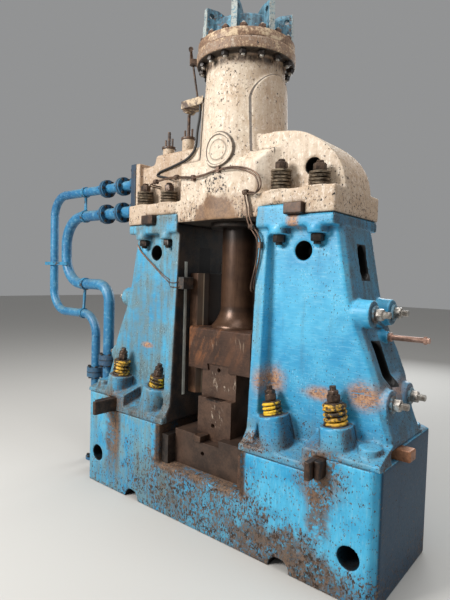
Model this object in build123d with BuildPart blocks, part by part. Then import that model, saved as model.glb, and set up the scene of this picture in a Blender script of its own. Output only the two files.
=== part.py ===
from build123d import *
import os
from math import cos, radians, sin, tan

os.makedirs("parts", exist_ok=True)

# Steam and air forging hammer, closed-die type, from floor level up.
# Millimetres. X runs along the machine, -Y is the operator's side, Z is up.
# The origin is on the floor, under the centre line of the ram.
# A size that ends in _rise is measured up from what it stands on, one that ends in
# _in or _out is measured in or out from the end of the anvil block, and one that ends
# in _drop is measured down from the top of its piece.

# Fits
key_clearance = 0.3
rod_clearance = 0.4
slot_clearance = 0.4
running_clearance = 6

# Anvil block
anvil_length = 2420
anvil_depth = 810
anvil_corner = 45
seat_height = 615
key_step = 98
side_key_step = 62
recess_width = 710
recess_floor = 352
recess_lip = 22
floor_hole_radius = 68
floor_hole_x = 645
lifting_hole_radius = 60
lifting_hole_x = 1062
lifting_hole_height = 238
anvil_hole_depth = 220

# Keys that hold the columns on the anvil block
front_key_width = 70
front_key_x = 883
front_key_length = 330
right_front_key_stand_out = 105
left_front_key_stand_out = 180
key_chamfer = 6
front_wedge_step = 42
side_key_width = 80
side_key_front = -150
side_key_length = 260
right_side_key_stand_out = 62
left_side_key_stand_out = 40
side_slot_front = -235

# Columns
column_gap = 668
column_height = 2022
flange_thickness = 65
flange_outer_x = 858
flange_half_depth = 297
panel_top_depth = 215
panel_foot_depth = 226
panel_edge_chamfer = 34
strip_width = 78
strip_top_depth = 266
strip_foot_depth = 326
strip_foot_rise = 123
foot_top_rise = 180
foot_front_drop = 52
foot_front_slope = 12
inner_foot_top_rise = 97
inner_foot_end_x = 765
foot_cut_room = 120

# Outline of a column's outer side, from its foot up to its top flange
ankle_in = 14
ankle_rise = 215
shin_in = 65
shin_rise = 355
thigh_in = 96
thigh_rise = 495
hip_in = 154
hip_rise = 645
waist_in = 234
waist_rise = 833
shoulder_in = 282
shoulder_rise = 1025
neck_in = 342

# Cored openings of a column
front_hole_radius = 55
front_hole_x = 630
front_hole_height = 1820
front_hole_depth = 150
side_slot_width = 110
upper_slot_rise = 1041
upper_slot_length = 204
lower_slot_rise = 449
lower_slot_length = 240
side_slot_depth = 170
valley_depth = 62
valley_half_width = 152
valley_flare = 21
valley_low_rise = 432
valley_high_rise = 806

# Bolts through the feet of the columns
inner_foot_bolt_x = 512
outer_foot_bolt_x = 918
foot_bolt_y = 298
inner_boss_rise = 230
outer_boss_rise = 257
foot_boss_radius = 92
foot_boss_length = 190
foot_boss_draft = 4
corner_lump_in = 96
corner_lump_radius = 90
corner_lump_rise = 188
corner_lump_draft = 9
inner_foot_tilt = 12
outer_foot_tilt = 8
foot_stud_radius = 21
foot_stud_sunk = 80
inner_spring_radius = 58
outer_spring_radius = 66
inner_spring_height = 78
outer_spring_height = 118
foot_spring_turns = 4
spring_sleeve_share = 0.82
spring_turn_share = 0.62
foot_nut_across = 62
foot_nut_height = 48
foot_lock_nut_height = 20

# Bolts in the outer sides of the columns
middle_side_bolt_in = 170
middle_side_bolt_rise = 857
low_side_bolt_in = 53
low_side_bolt_rise = 385
side_bolt_y = 138
side_boss_radius = 76
side_boss_length = 150
side_boss_draft = 3
side_washer_radius = 48
side_washer_thickness = 14
side_nut_across = 62
side_nut_height = 36
side_stud_radius = 19
side_stud_end = 40
side_stud_sunk = 110

# Shaft end that stands out of the right-hand column
shaft_y = 100
shaft_rise = 715
shaft_radius = 16
shaft_length = 228
shaft_boss_in = 172
shaft_boss_radius = 34
shaft_boss_length = 130
shaft_collar_radius = 26
shaft_collar_length = 16

# Cap with the cylinder
cap_half_length = 862
cap_half_depth = 300
cap_middle_half_length = 381
cap_middle_half_depth = 285
ledge_rise = 150
seat_pad_rise = 6
wall_half_depth = 176
wall_end_rise = 108
wall_shoulder_x = 805
wall_shoulder_rise = 323
wall_bend_x = 625
wall_bend_rise = 478
wall_top_x = 390
wall_top_rise = 535
breast_front_rise = 348
breast_top_rise = 433
breast_top_depth = 200
breast_half_width = 300
breast_end_x = 430
core_hole_radius = 50
core_hole_x = 650
core_hole_rise = 290
core_hole_depth = 90
cylinder_foot_radius = 299
cylinder_foot_rise = 278
cylinder_top_radius = 267
cylinder_flange_rise = 1055
cylinder_flange_thickness = 78
cylinder_flange_radius = 338
bore_radius = 205
bore_floor_rise = 168
side_pad_half_width = 205
side_pad_straight_rise = 768
side_pad_top_rise = 950
side_pad_thickness = 14
badge_x = 17
badge_rise = 449
badge_radius = 110
badge_thickness = 7
badge_rim_width = 13
badge_rim_height = 7

# Cap bolts with disc springs
inner_cap_bolt_x = 478
outer_cap_bolt_x = 734
cap_bolt_y = 243
cap_seat_radius = 74
cap_stud_radius = 22
disc_radius = 62
right_disc_counts = (6, 4)
left_disc_counts = (4, 5)
disc_pitch = 20
cap_nut_across = 66
cap_nut_height = 44
cap_nut_room = 12
cap_stud_end = 16
flange_boss_radius = 62
flange_boss_drop = 44

# Lugs and keys between column and cap
lug_start_x = 345
lug_end_x = 556
lug_rise = 65
lug_depth = 28
cap_key_width = 118
cap_key_stand_out = 34
cap_key_chamfer = 5

# Cylinder cover
cover_radius = 330
cover_flange_thickness = 54
drum_radius = 245
drum_height = 131
drum_edge = 14
rib_count = 8
rib_thickness = 38
rib_radius = 320
rib_rise = 190
rib_head_width = 90
rib_root_radius = 100
rib_root_rise = 12
rib_lean = 6
rib_hole_radius = 18
rib_hole_in = 42
rib_hole_drop = 44
cover_bolt_circle = 302
cover_bolt_count = 16
cover_stud_radius = 14
cover_stud_end = 12
cover_nut_across = 44
cover_nut_height = 26

# Valve chest on the cap's left side
chest_length = 838
chest_half_depth = 180
chest_high_rise = 538
chest_low_rise = 456
chest_low_slope = 16
chest_step_x = 722
chest_step_top_x = 700
chest_root_x = 200
chest_edge_chamfer = 15
chest_flange_thickness = 54
chest_flange_half_depth = 215
chest_flange_low_rise = 164
chest_flange_top_rise = 490
end_plate_low_rise = 24
end_plate_thickness = 52
gland_y = -100
throttle_gland_x = -640
throttle_gland_height = 50
throttle_spindle_height = 180
valve_gland_x = -436
valve_gland_height = 88
valve_spindle_height = 270
gland_radius = 46
gland_flange_radius = 54
gland_flange_thickness = 16
gland_stud_radius = 8
gland_stud_offset = 36
gland_stud_height = 60
spindle_radius = 12

# Bracket and lever rod of the valve gear
bracket_rise = 825
bracket_front = -190
bracket_back = -75
bracket_end_x = -430
bracket_thickness = 52
bracket_eye_rise = 24
bracket_eye_radius = 34
bracket_eye_length = 76
lever_lug_angle = 218
lever_lug_radius = 382
lever_lug_width = 34
lever_lug_thickness = 40
lever_lug_drop = 12
lever_rod_radius = 7
lever_rod_rise = 1190
lever_foot_x = -292
lever_foot_y = -165
lever_eye_radius = 16

# Guides, ram and rod
guide_front = 150
guide_face_x = 262
guide_nose_x = 208
guide_nose_half = 85
guide_low_rise = 200
guide_top_drop = 346
ram_half_width = 270
ram_half_depth = 215
ram_height = 288
ram_chamfer = 12
rod_radius = 128
flare_radius = 188
flare_height = 165
flare_rim = 14
flare_waist = 17
piston_thickness = 150
piston_lift = 40
packing_gland_radius = 215
packing_gland_drop = 34
packing_gland_chamfer = 8

# Dies and sow block
sow_half_width = 290
sow_half_depth = 310
sow_height = 236
sow_key_height = 200
left_sow_key_stand_out = 70
right_sow_key_stand_out = 30
slot_half_width = 100
slot_flare = 8
sow_slot_depth = 45
die_key_width = 66
die_key_stand_out = 20
lower_die_half_width = 146
lower_die_half_depth = 240
lower_die_height = 242
die_gap = 0.3
upper_die_half_width = 150
upper_die_half_depth = 200
upper_die_height = 184.7
upper_shank_half_width = 86
shank_height = 43
die_flash_radius = 16
die_flash_length = 60
lifting_tap_radius = 15
lifting_tap_depth = 60
sow_tap_x = -32
sow_tap_drop = 118
lower_die_tap_x = -8
lower_die_tap_rise = 60
upper_die_tap_rise = 6

# Pipes at the left side
pipe_y = -120
pipe_wall = 6
inlet_pipe_radius = 38
outlet_pipe_radius = 46
inlet_rise = 358
outlet_rise = 143
pipe_flange_gap_1 = 190
pipe_flange_gap_2 = 408
pipe_flange_thickness = 42
pipe_flange_width = 36
inlet_far_out = 990
inlet_low_drop = 732
inlet_foot_out = 295
outlet_far_out = 778
outlet_low_drop = 464
outlet_foot_out = 112
inlet_collar_height = 784
outlet_collar_height = 915
floor_flange_thickness = 22
inlet_bends = (190, 210, 180)
outlet_bends = (250, 250, 150)
clamp_out = 480
clamp_width = 30
clamp_thickness = 9
low_clamp_shift = 12
strap_drop = 282
strap_stand_out = 40
link_radius = 13

# Lubrication tubes and lubricator
oil_tube_radius = 5
oil_tube_spread = (6, 5, 5)
# Places on the oil tubes' route: along, across, and up or down from the top of the columns
oil_route = [
    (-640, -172, 288),
    (-640, -292, 288),
    (-560, -298, 304),
    (-420, -300, 316),
    (-344, -302, 312),
    (-190, -302, 291),
    (-97, -303, 297),
    (34, -306, 319),
    (159, -303, 320),
    (266, -302, 296),
    (345, -300, 247),
    (372, -306, 184),
    (349, -312, 136),
    (265, -308, 153),
    (271, -306, 112),
    (288, -307, 63),
    (291, -308, -10),
    (316, -306, -60),
    (362, -300, -119),
    (372, -296, -171),
    (361, -294, -273),
    (329, -300, -413),
    (320, -285, -447),
    (318, -158, -462),
]
clip_width = 24
clip_height = 36
clip_depth = 60
clip_front = 8
hose_radius = 9
hose_start = (-256, -176)
hose_drop = 82
hose_route = [
    (-264, -190, 650),
    (-270, -195, 518),
    (-345, -196, 458),
    (-490, -194, 426),
    (-640, -186, 404),
]
lubricator_width = 54
lubricator_depth = 100
lubricator_height = 84
lubricator_rise = 946
lubricator_front = 275
lubricator_chamfer = 4

anvil_half = anvil_length / 2
anvil_front = anvil_depth / 2
shoulder_height = seat_height + key_step
inner_face_x = column_gap / 2
flange_bottom = column_height - flange_thickness
slot_inner_x = front_key_x - front_key_width / 2
slot_outer_x = front_key_x + front_key_width / 2
side_slot_back = side_key_front + side_key_width
foot_top = seat_height + foot_top_rise
inner_foot_top = seat_height + inner_foot_top_rise
ledge_height = column_height + ledge_rise
cap_seat_height = ledge_height + seat_pad_rise
cylinder_flange_bottom = column_height + cylinder_flange_rise
cylinder_flange_top = cylinder_flange_bottom + cylinder_flange_thickness
bore_floor = column_height + bore_floor_rise
cover_bottom = cylinder_flange_top
cover_top = cover_bottom + cover_flange_thickness
chest_high_top = column_height + chest_high_rise
chest_low_top = column_height + chest_low_rise
chest_end_x = -chest_length
chest_flange_top = column_height + chest_flange_top_rise
plate_inner_x = chest_end_x - chest_flange_thickness
plate_face_x = plate_inner_x - end_plate_thickness
sow_top = recess_floor + sow_height
die_split = sow_top + lower_die_height
ram_bottom = die_split + die_gap + upper_die_height
ram_top = ram_bottom + ram_height
guide_bottom = seat_height + guide_low_rise
guide_top = column_height - guide_top_drop
inlet_height = column_height + inlet_rise
outlet_height = column_height + outlet_rise
inlet_far_x = -anvil_half - inlet_far_out
inlet_low_height = column_height - inlet_low_drop
inlet_foot_x = -anvil_half - inlet_foot_out
outlet_far_x = -anvil_half - outlet_far_out
outlet_low_height = column_height - outlet_low_drop
outlet_foot_x = -anvil_half - outlet_foot_out
clamp_x = -anvil_half - clamp_out
strap_height = column_height - strap_drop
bracket_low = column_height + bracket_rise


def keep(part, name):
    part.label = name
    export_step(part, f"parts/{name}.step")


def both_sides(value):
    return (-value, value)


# The same part on the machine's other side
def mirrored(part):
    return mirror(part, about=Plane.YZ)


# Radius of each bend in a route, as large as the two runs beside it allow
def bend_radii(points):
    places = [Vector(*point) for point in points]
    radii = []
    for before, corner, after in zip(places, places[1:], places[2:]):
        run_in = corner - before
        run_out = after - corner
        turn = radians(run_in.get_angle(run_out))
        radii.append(0.45 * min(run_in.length, run_out.length) / tan(turn / 2))
    return radii


# Round bar or tube along a route of straight runs and arcs
def tube_along(points, radius, radii, hollow=0):
    with BuildPart() as tube:
        with BuildLine() as path:
            FilletPolyline(*points, radius=radii)
        with BuildSketch(Plane(origin=path.line @ 0, z_dir=path.line % 0)):
            Circle(radius)
            if hollow:
                Circle(hollow, mode=Mode.SUBTRACT)
        sweep()
    return tube.part


# Anvil block
with BuildPart() as anvil_block:
    with BuildSketch(Plane.XZ):
        with BuildLine():
            Polyline(
                (-anvil_half, 0),
                (anvil_half, 0),
                (anvil_half, shoulder_height),
                (slot_outer_x, shoulder_height),
                (slot_outer_x, seat_height),
                (recess_width / 2, seat_height),
                (recess_width / 2, recess_floor),
                (-recess_width / 2, recess_floor),
                (-recess_width / 2, seat_height),
                (-slot_outer_x, seat_height),
                (-slot_outer_x, shoulder_height),
                (-anvil_half, shoulder_height),
                close=True,
            )
        make_face()
    extrude(amount=anvil_front, both=True)
    shoulder_width = anvil_half - slot_outer_x
    for side in (-1, 1):
        shoulder_x = side * (slot_outer_x + shoulder_width / 2)
        with BuildSketch(Plane.XY.offset(shoulder_height)):
            with Locations((shoulder_x, (anvil_front + side_slot_back) / 2)):
                Rectangle(shoulder_width, anvil_front - side_slot_back)
        extrude(amount=side_key_step)
    corner_edges = anvil_block.edges().filter_by(Axis.Z).filter_by(
        lambda edge: abs(edge.center().X) > anvil_half - 1 and abs(edge.center().Y) > anvil_front - 1
    )
    chamfer(corner_edges, anvil_corner)
    sill_edges = anvil_block.edges().filter_by(Axis.X).filter_by(
        lambda edge: abs(edge.center().Z - recess_floor) < 1 and abs(edge.center().Y) > anvil_front - 1
    )
    chamfer(sill_edges, recess_lip)
    for side in (-1, 1):
        with BuildSketch(Plane.XZ.offset(-side * anvil_front)):
            with Locations(*[(x, 0) for x in both_sides(floor_hole_x)]):
                Circle(floor_hole_radius)
            with Locations(*[(x, lifting_hole_height) for x in both_sides(lifting_hole_x)]):
                Circle(lifting_hole_radius)
        extrude(amount=side * anvil_hole_depth, mode=Mode.SUBTRACT)
keep(anvil_block.part, "anvil_block")


# Seats of the bolts in the foot of a column, written for the right-hand one
def foot_plane(x, rise, tilt, depth_sign):
    slope = radians(tilt)
    return Plane(origin=(x, depth_sign * foot_bolt_y, seat_height + rise), z_dir=(-sin(slope), 0, cos(slope)))


inner_foot_planes = [
    foot_plane(inner_foot_bolt_x, inner_boss_rise, inner_foot_tilt, sign) for sign in (-1, 1)
]
outer_foot_planes = [
    foot_plane(outer_foot_bolt_x, outer_boss_rise, outer_foot_tilt, sign) for sign in (-1, 1)
]
side_bolt_planes = [
    Plane(origin=(anvil_half - bolt_in, y, seat_height + rise), z_dir=(1, 0, 0))
    for bolt_in, rise in ((middle_side_bolt_in, middle_side_bolt_rise), (low_side_bolt_in, low_side_bolt_rise))
    for y in both_sides(side_bolt_y)
]
cap_bolt_places = [(x, y) for x in (inner_cap_bolt_x, outer_cap_bolt_x) for y in both_sides(cap_bolt_y)]


def outline_point(inset, rise):
    return (anvil_half - inset, seat_height + rise)


# Column on the right, a casting with a spread foot and a flat top flange
with BuildPart() as right_column:
    with BuildSketch(Plane.XZ):
        with BuildLine():
            ankle = outline_point(ankle_in, ankle_rise)
            thigh = outline_point(thigh_in, thigh_rise)
            hip = outline_point(hip_in, hip_rise)
            shoulder = outline_point(shoulder_in, shoulder_rise)
            Line(hip, thigh)
            ThreePointArc(thigh, outline_point(shin_in, shin_rise), ankle)
            Polyline(
                ankle,
                (anvil_half - 2, shoulder_height),
                (slot_inner_x, shoulder_height),
                (slot_inner_x, seat_height),
                (inner_face_x, seat_height),
                (inner_face_x, flange_bottom),
                (anvil_half - neck_in, flange_bottom),
                shoulder,
            )
            ThreePointArc(shoulder, outline_point(waist_in, waist_rise), hip)
        make_face()
    extrude(amount=anvil_front, both=True)
    with BuildSketch(Plane.YZ):
        with BuildLine():
            foot_edge = foot_top - foot_front_drop
            for sign in (-1, 1):
                Line((sign * panel_top_depth, flange_bottom), (sign * panel_foot_depth, foot_top))
                Line((sign * panel_foot_depth, foot_top), (sign * (anvil_front - foot_front_slope), foot_edge))
                Line((sign * (anvil_front - foot_front_slope), foot_edge), (sign * anvil_front, seat_height))
            Line((-panel_top_depth, flange_bottom), (panel_top_depth, flange_bottom))
            Line((-anvil_front, seat_height), (anvil_front, seat_height))
        make_face()
    extrude(amount=anvil_half, both=True, mode=Mode.INTERSECT)
    panel_edges = right_column.edges().filter_by(
        lambda edge: edge.center().X > anvil_half - neck_in - 1
        and edge.bounding_box().size.Z > panel_edge_chamfer
        and panel_top_depth - 1 < abs(edge.center().Y) < panel_foot_depth + 1
    )
    chamfer(panel_edges, panel_edge_chamfer)
    for sign in (-1, 1):
        with BuildSketch(Plane.YZ.offset(inner_face_x)):
            with BuildLine():
                cut_top = foot_top + foot_cut_room
                inner_edge = inner_foot_top - foot_front_drop
                Polyline(
                    (sign * (panel_foot_depth + 0.5), cut_top),
                    (sign * (panel_foot_depth + 0.5), inner_foot_top),
                    (sign * (anvil_front - foot_front_slope), inner_edge),
                    (sign * (anvil_front + foot_front_slope), inner_edge),
                    (sign * (anvil_front + foot_front_slope), cut_top),
                    close=True,
                )
            make_face()
        extrude(amount=inner_foot_end_x - inner_face_x, mode=Mode.SUBTRACT)
    with BuildSketch(Plane.YZ.offset(inner_face_x)):
        with BuildLine():
            Polyline(
                (-strip_top_depth, flange_bottom),
                (strip_top_depth, flange_bottom),
                (strip_foot_depth, seat_height + strip_foot_rise),
                (anvil_front, seat_height),
                (-anvil_front, seat_height),
                (-strip_foot_depth, seat_height + strip_foot_rise),
                close=True,
            )
        make_face()
    extrude(amount=strip_width)
    with BuildSketch(Plane.XY.offset(flange_bottom)):
        with Locations(((inner_face_x + flange_outer_x) / 2, 0)):
            Rectangle(flange_outer_x - inner_face_x, 2 * flange_half_depth)
    extrude(amount=flange_thickness)
    for sign in (-1, 1):
        with BuildSketch(Plane.XY.offset(column_height)):
            with Locations(((lug_start_x + lug_end_x) / 2, sign * (flange_half_depth - lug_depth / 2))):
                Rectangle(lug_end_x - lug_start_x, lug_depth)
        extrude(amount=lug_rise)
    for plane in inner_foot_planes + outer_foot_planes:
        with BuildSketch(plane):
            Circle(foot_boss_radius)
        extrude(amount=-foot_boss_length, taper=-foot_boss_draft)
    with BuildSketch(Plane.XY.offset(seat_height)):
        with Locations(*[(anvil_half - corner_lump_in, y) for y in both_sides(foot_bolt_y)]):
            Circle(corner_lump_radius)
    extrude(amount=corner_lump_rise, taper=corner_lump_draft)
    with BuildSketch(Plane.XY.offset(flange_bottom)):
        with Locations(*cap_bolt_places):
            Circle(flange_boss_radius)
    extrude(amount=-flange_boss_drop)
    with BuildSketch(Plane.XY.offset(seat_height)):
        Rectangle(2 * anvil_length, 2 * anvil_depth)
    extrude(amount=-seat_height, mode=Mode.SUBTRACT)
    shoulder_cut_x = (slot_inner_x + anvil_length) / 2
    with BuildSketch(Plane.XY.offset(seat_height)):
        with Locations((shoulder_cut_x, 0)):
            Rectangle(anvil_length - slot_inner_x, 2 * anvil_depth)
    extrude(amount=key_step, mode=Mode.SUBTRACT)
    with BuildSketch(Plane.XY.offset(shoulder_height)):
        with Locations((shoulder_cut_x, (side_slot_front + anvil_depth) / 2)):
            Rectangle(anvil_length - slot_inner_x, anvil_depth - side_slot_front)
    extrude(amount=side_key_step, mode=Mode.SUBTRACT)
    with BuildSketch(Plane.XZ):
        with BuildLine():
            low_z = seat_height + valley_low_rise
            high_z = seat_height + valley_high_rise
            Polyline(
                (anvil_half - waist_in - valley_depth, high_z),
                (anvil_half - hip_in - valley_depth, seat_height + hip_rise),
                (anvil_half - thigh_in - valley_depth, seat_height + thigh_rise),
                (anvil_half - shin_in - valley_depth / 2, low_z),
                (anvil_half + valley_half_width, low_z),
                (anvil_half + valley_half_width, high_z),
                close=True,
            )
        make_face()
    extrude(amount=valley_half_width, both=True, taper=valley_flare, mode=Mode.SUBTRACT)
    for plane in side_bolt_planes:
        with BuildSketch(plane):
            Circle(side_boss_radius)
        extrude(amount=-side_boss_length, taper=-side_boss_draft)
    with BuildSketch(Plane.YZ.offset(anvil_half - shaft_boss_in)):
        with Locations((shaft_y, seat_height + shaft_rise)):
            Circle(shaft_boss_radius)
    extrude(amount=-shaft_boss_length)
    with BuildSketch(Plane.XZ):
        with Locations((front_hole_x, front_hole_height)):
            Circle(front_hole_radius)
    extrude(amount=anvil_depth, both=True, mode=Mode.SUBTRACT)
    with BuildSketch(Plane.XZ):
        with Locations((front_hole_x, front_hole_height)):
            Circle(2 * front_hole_radius)
    extrude(amount=panel_top_depth - front_hole_depth, both=True)
    for slot_rise, slot_length, floor_in in (
        (upper_slot_rise, upper_slot_length, shoulder_in),
        (lower_slot_rise, lower_slot_length, hip_in + valley_depth),
    ):
        with BuildSketch(Plane.YZ.offset(anvil_half)):
            with Locations((0, seat_height + slot_rise + slot_length / 2)):
                SlotOverall(slot_length, side_slot_width, rotation=90)
        extrude(amount=-floor_in - side_slot_depth, mode=Mode.SUBTRACT)
    for plane in inner_foot_planes + outer_foot_planes:
        with BuildSketch(plane):
            Circle(foot_stud_radius + key_clearance)
        extrude(amount=-foot_stud_sunk, mode=Mode.SUBTRACT)
    for plane in side_bolt_planes:
        with BuildSketch(plane):
            Circle(side_stud_radius + key_clearance)
        extrude(amount=-side_stud_sunk, mode=Mode.SUBTRACT)
    with BuildSketch(Plane.XY.offset(column_height)):
        with Locations(*cap_bolt_places):
            Circle(cap_stud_radius + key_clearance)
    extrude(amount=-flange_thickness - flange_boss_drop, mode=Mode.SUBTRACT)
    with BuildSketch(Plane.XY.offset(flange_bottom - flange_boss_drop)):
        with Locations(*cap_bolt_places):
            Circle(cap_nut_across / 2 + cap_nut_room)
    extrude(amount=-cap_nut_height - cap_stud_end - cap_nut_room, mode=Mode.SUBTRACT)
keep(right_column.part, "right_column")

keep(mirrored(right_column.part), "left_column")


# Pairs of wedges in the step between column and anvil, driven from the front and from the rear
def front_key_set(name, side, stand_out):
    wedge_width = front_key_width / 2 - key_clearance
    with BuildPart() as keys:
        for sign in (-1, 1):
            for wedge_x, wedge_out in (
                (front_key_x - wedge_width / 2, stand_out),
                (front_key_x + wedge_width / 2, stand_out - front_wedge_step),
            ):
                wedge_y = sign * (anvil_front + wedge_out - front_key_length / 2)
                with BuildPart(mode=Mode.PRIVATE) as wedge:
                    with BuildSketch(Plane.XY.offset(seat_height + key_clearance)):
                        with Locations((side * wedge_x, wedge_y)):
                            Rectangle(wedge_width - key_clearance, front_key_length)
                    extrude(amount=key_step - 2 * key_clearance)
                    chamfer(wedge.edges().filter_by(Axis.Z), key_chamfer)
                add(wedge.part)
    keep(keys.part, name)


front_key_set("right_front_keys", 1, right_front_key_stand_out)
front_key_set("left_front_keys", -1, left_front_key_stand_out)


# Keys driven from the sides of the machine
def side_key(name, side, stand_out):
    with BuildPart() as key:
        key_x = side * (anvil_half + stand_out - side_key_length / 2)
        with BuildSketch(Plane.XY.offset(shoulder_height)):
            with Locations((key_x, side_key_front + side_key_width / 2)):
                Rectangle(side_key_length, side_key_width - 2 * key_clearance)
        extrude(amount=side_key_step - key_clearance)
        chamfer(key.edges().filter_by(Axis.Y), key_chamfer)
    keep(key.part, name)


side_key("right_side_key", 1, right_side_key_stand_out)
side_key("left_side_key", -1, left_side_key_stand_out)


# Ringed spring round a stud: a sleeve with turns that stand out from it
def spring_on(plane, radius, height, turns, stud_radius):
    turn_height = height / turns
    with BuildPart() as spring:
        with BuildSketch(plane):
            Circle(spring_sleeve_share * radius)
        extrude(amount=height)
        for turn in range(turns):
            with BuildSketch(plane.offset(turn * turn_height)):
                Circle(radius)
            extrude(amount=spring_turn_share * turn_height)
        with BuildSketch(plane):
            Circle(stud_radius + key_clearance)
        extrude(amount=height, mode=Mode.SUBTRACT)
    return spring.part


# Springs under the nuts of the foot bolts
with BuildPart() as right_foot_springs:
    add([
        spring_on(plane, inner_spring_radius, inner_spring_height, foot_spring_turns, foot_stud_radius)
        for plane in inner_foot_planes
    ])
    add([
        spring_on(plane, outer_spring_radius, outer_spring_height, foot_spring_turns, foot_stud_radius)
        for plane in outer_foot_planes
    ])
keep(right_foot_springs.part, "right_foot_springs")
keep(mirrored(right_foot_springs.part), "left_foot_springs")

# Studs with nut and lock nut on the foot springs
with BuildPart() as right_foot_bolts:
    for planes, spring_height in (
        (inner_foot_planes, inner_spring_height),
        (outer_foot_planes, outer_spring_height),
    ):
        for plane in planes:
            with BuildSketch(plane.offset(-foot_stud_sunk)):
                Circle(foot_stud_radius)
            extrude(amount=foot_stud_sunk + spring_height + 2 * foot_nut_height)
            with BuildSketch(plane.offset(spring_height)):
                RegularPolygon(foot_nut_across / 2, 6, major_radius=False)
            extrude(amount=foot_nut_height)
            with BuildSketch(plane.offset(spring_height + foot_nut_height)):
                Circle(foot_nut_across / 2)
            extrude(amount=foot_lock_nut_height)
keep(right_foot_bolts.part, "right_foot_bolts")
keep(mirrored(right_foot_bolts.part), "left_foot_bolts")

# Bolts in the outer face of each column, with washer and nut
with BuildPart() as right_side_bolts:
    for plane in side_bolt_planes:
        with BuildSketch(plane.offset(-side_stud_sunk)):
            Circle(side_stud_radius)
        extrude(amount=side_stud_sunk + side_washer_thickness + side_nut_height + side_stud_end)
        with BuildSketch(plane):
            Circle(side_washer_radius)
        extrude(amount=side_washer_thickness)
        with BuildSketch(plane.offset(side_washer_thickness)):
            RegularPolygon(side_nut_across / 2, 6, major_radius=False)
        extrude(amount=side_nut_height)
keep(right_side_bolts.part, "right_side_bolts")
keep(mirrored(right_side_bolts.part), "left_side_bolts")

# Shaft end at the right-hand column
with BuildPart() as side_shaft:
    shaft_plane = Plane(origin=(anvil_half - shaft_boss_in, shaft_y, seat_height + shaft_rise), z_dir=(1, 0, 0))
    with BuildSketch(shaft_plane):
        Circle(shaft_collar_radius)
    extrude(amount=shaft_collar_length)
    with BuildSketch(shaft_plane):
        Circle(shaft_radius)
    extrude(amount=shaft_length)
    with BuildSketch(shaft_plane.offset(shaft_length - 2 * shaft_collar_length)):
        RegularPolygon(shaft_collar_radius - key_chamfer, 6, major_radius=False)
    extrude(amount=shaft_collar_length)
keep(side_shaft.part, "side_shaft")

# Lower end of the cylinder wall, then its cone up to the flange
def cylinder_wall(extra):
    with BuildPart() as wall:
        with BuildSketch(Plane.XZ):
            with BuildLine():
                Polyline(
                    (0, column_height),
                    (cylinder_foot_radius + extra, column_height),
                    (cylinder_foot_radius + extra, column_height + cylinder_foot_rise),
                    (cylinder_top_radius + extra, cylinder_flange_bottom),
                    (0, cylinder_flange_bottom),
                    close=True,
                )
            make_face()
        revolve(axis=Axis.Z)
    return wall.part


# Arched pads on both sides of the cylinder, over its steam passages
with BuildPart() as side_pads:
    with BuildSketch(Plane.YZ):
        with BuildLine():
            pad_straight = column_height + side_pad_straight_rise
            pad_left = (-side_pad_half_width, pad_straight)
            pad_right = (side_pad_half_width, pad_straight)
            Polyline(
                pad_left,
                (-side_pad_half_width, column_height),
                (side_pad_half_width, column_height),
                pad_right,
            )
            ThreePointArc(pad_right, (0, column_height + side_pad_top_rise), pad_left)
        make_face()
    extrude(amount=cylinder_flange_radius, both=True)
    add(cylinder_wall(side_pad_thickness), mode=Mode.INTERSECT)

# Round boss with a raised rim on the front of the cylinder
badge_place = (badge_x, column_height + badge_rise)
with BuildPart() as badge:
    with BuildSketch(Plane.XZ):
        with Locations(badge_place):
            Circle(badge_radius)
    extrude(amount=cylinder_flange_radius)
    add(cylinder_wall(badge_thickness), mode=Mode.INTERSECT)
with BuildPart() as badge_rim:
    with BuildSketch(Plane.XZ):
        with Locations(badge_place):
            Circle(badge_radius)
            Circle(badge_radius - badge_rim_width, mode=Mode.SUBTRACT)
    extrude(amount=cylinder_flange_radius)
    add(cylinder_wall(badge_thickness + badge_rim_height), mode=Mode.INTERSECT)

# Breast of the cap, which runs up into the cylinder in front and at the rear
with BuildPart() as breast:
    with BuildSketch(Plane.YZ):
        with BuildLine():
            front_top = column_height + breast_front_rise
            breast_top = column_height + breast_top_rise
            Polyline(
                (-cap_middle_half_depth, column_height),
                (-cap_middle_half_depth, front_top),
                (-breast_top_depth, breast_top),
                (breast_top_depth, breast_top),
                (cap_middle_half_depth, front_top),
                (cap_middle_half_depth, column_height),
                close=True,
            )
        make_face()
    extrude(amount=breast_end_x, both=True)
    with BuildSketch(Plane.XY.offset(column_height)):
        with BuildLine():
            Polyline(
                (-breast_half_width, -cap_half_depth),
                (breast_half_width, -cap_half_depth),
                (breast_end_x, -wall_half_depth),
                (breast_end_x, wall_half_depth),
                (breast_half_width, cap_half_depth),
                (-breast_half_width, cap_half_depth),
                (-breast_end_x, wall_half_depth),
                (-breast_end_x, -wall_half_depth),
                close=True,
            )
        make_face()
    extrude(amount=breast_top_rise, mode=Mode.INTERSECT)

# Valve chest on the left, with its top edges broken
with BuildPart() as valve_chest:
    with BuildSketch(Plane.XZ):
        with BuildLine():
            Polyline(
                (-chest_root_x, column_height),
                (chest_end_x, column_height),
                (chest_end_x, chest_low_top),
                (-chest_step_x, chest_low_top + chest_low_slope),
                (-chest_step_top_x, chest_high_top),
                (-chest_root_x, chest_high_top),
                close=True,
            )
        make_face()
    extrude(amount=chest_half_depth, both=True)
    chest_sides = valve_chest.faces().filter_by(Axis.Y)
    chamfer(
        chest_sides.edges().filter_by(lambda edge: edge.center().Z > chest_low_top - chest_edge_chamfer),
        chest_edge_chamfer,
    )

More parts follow.
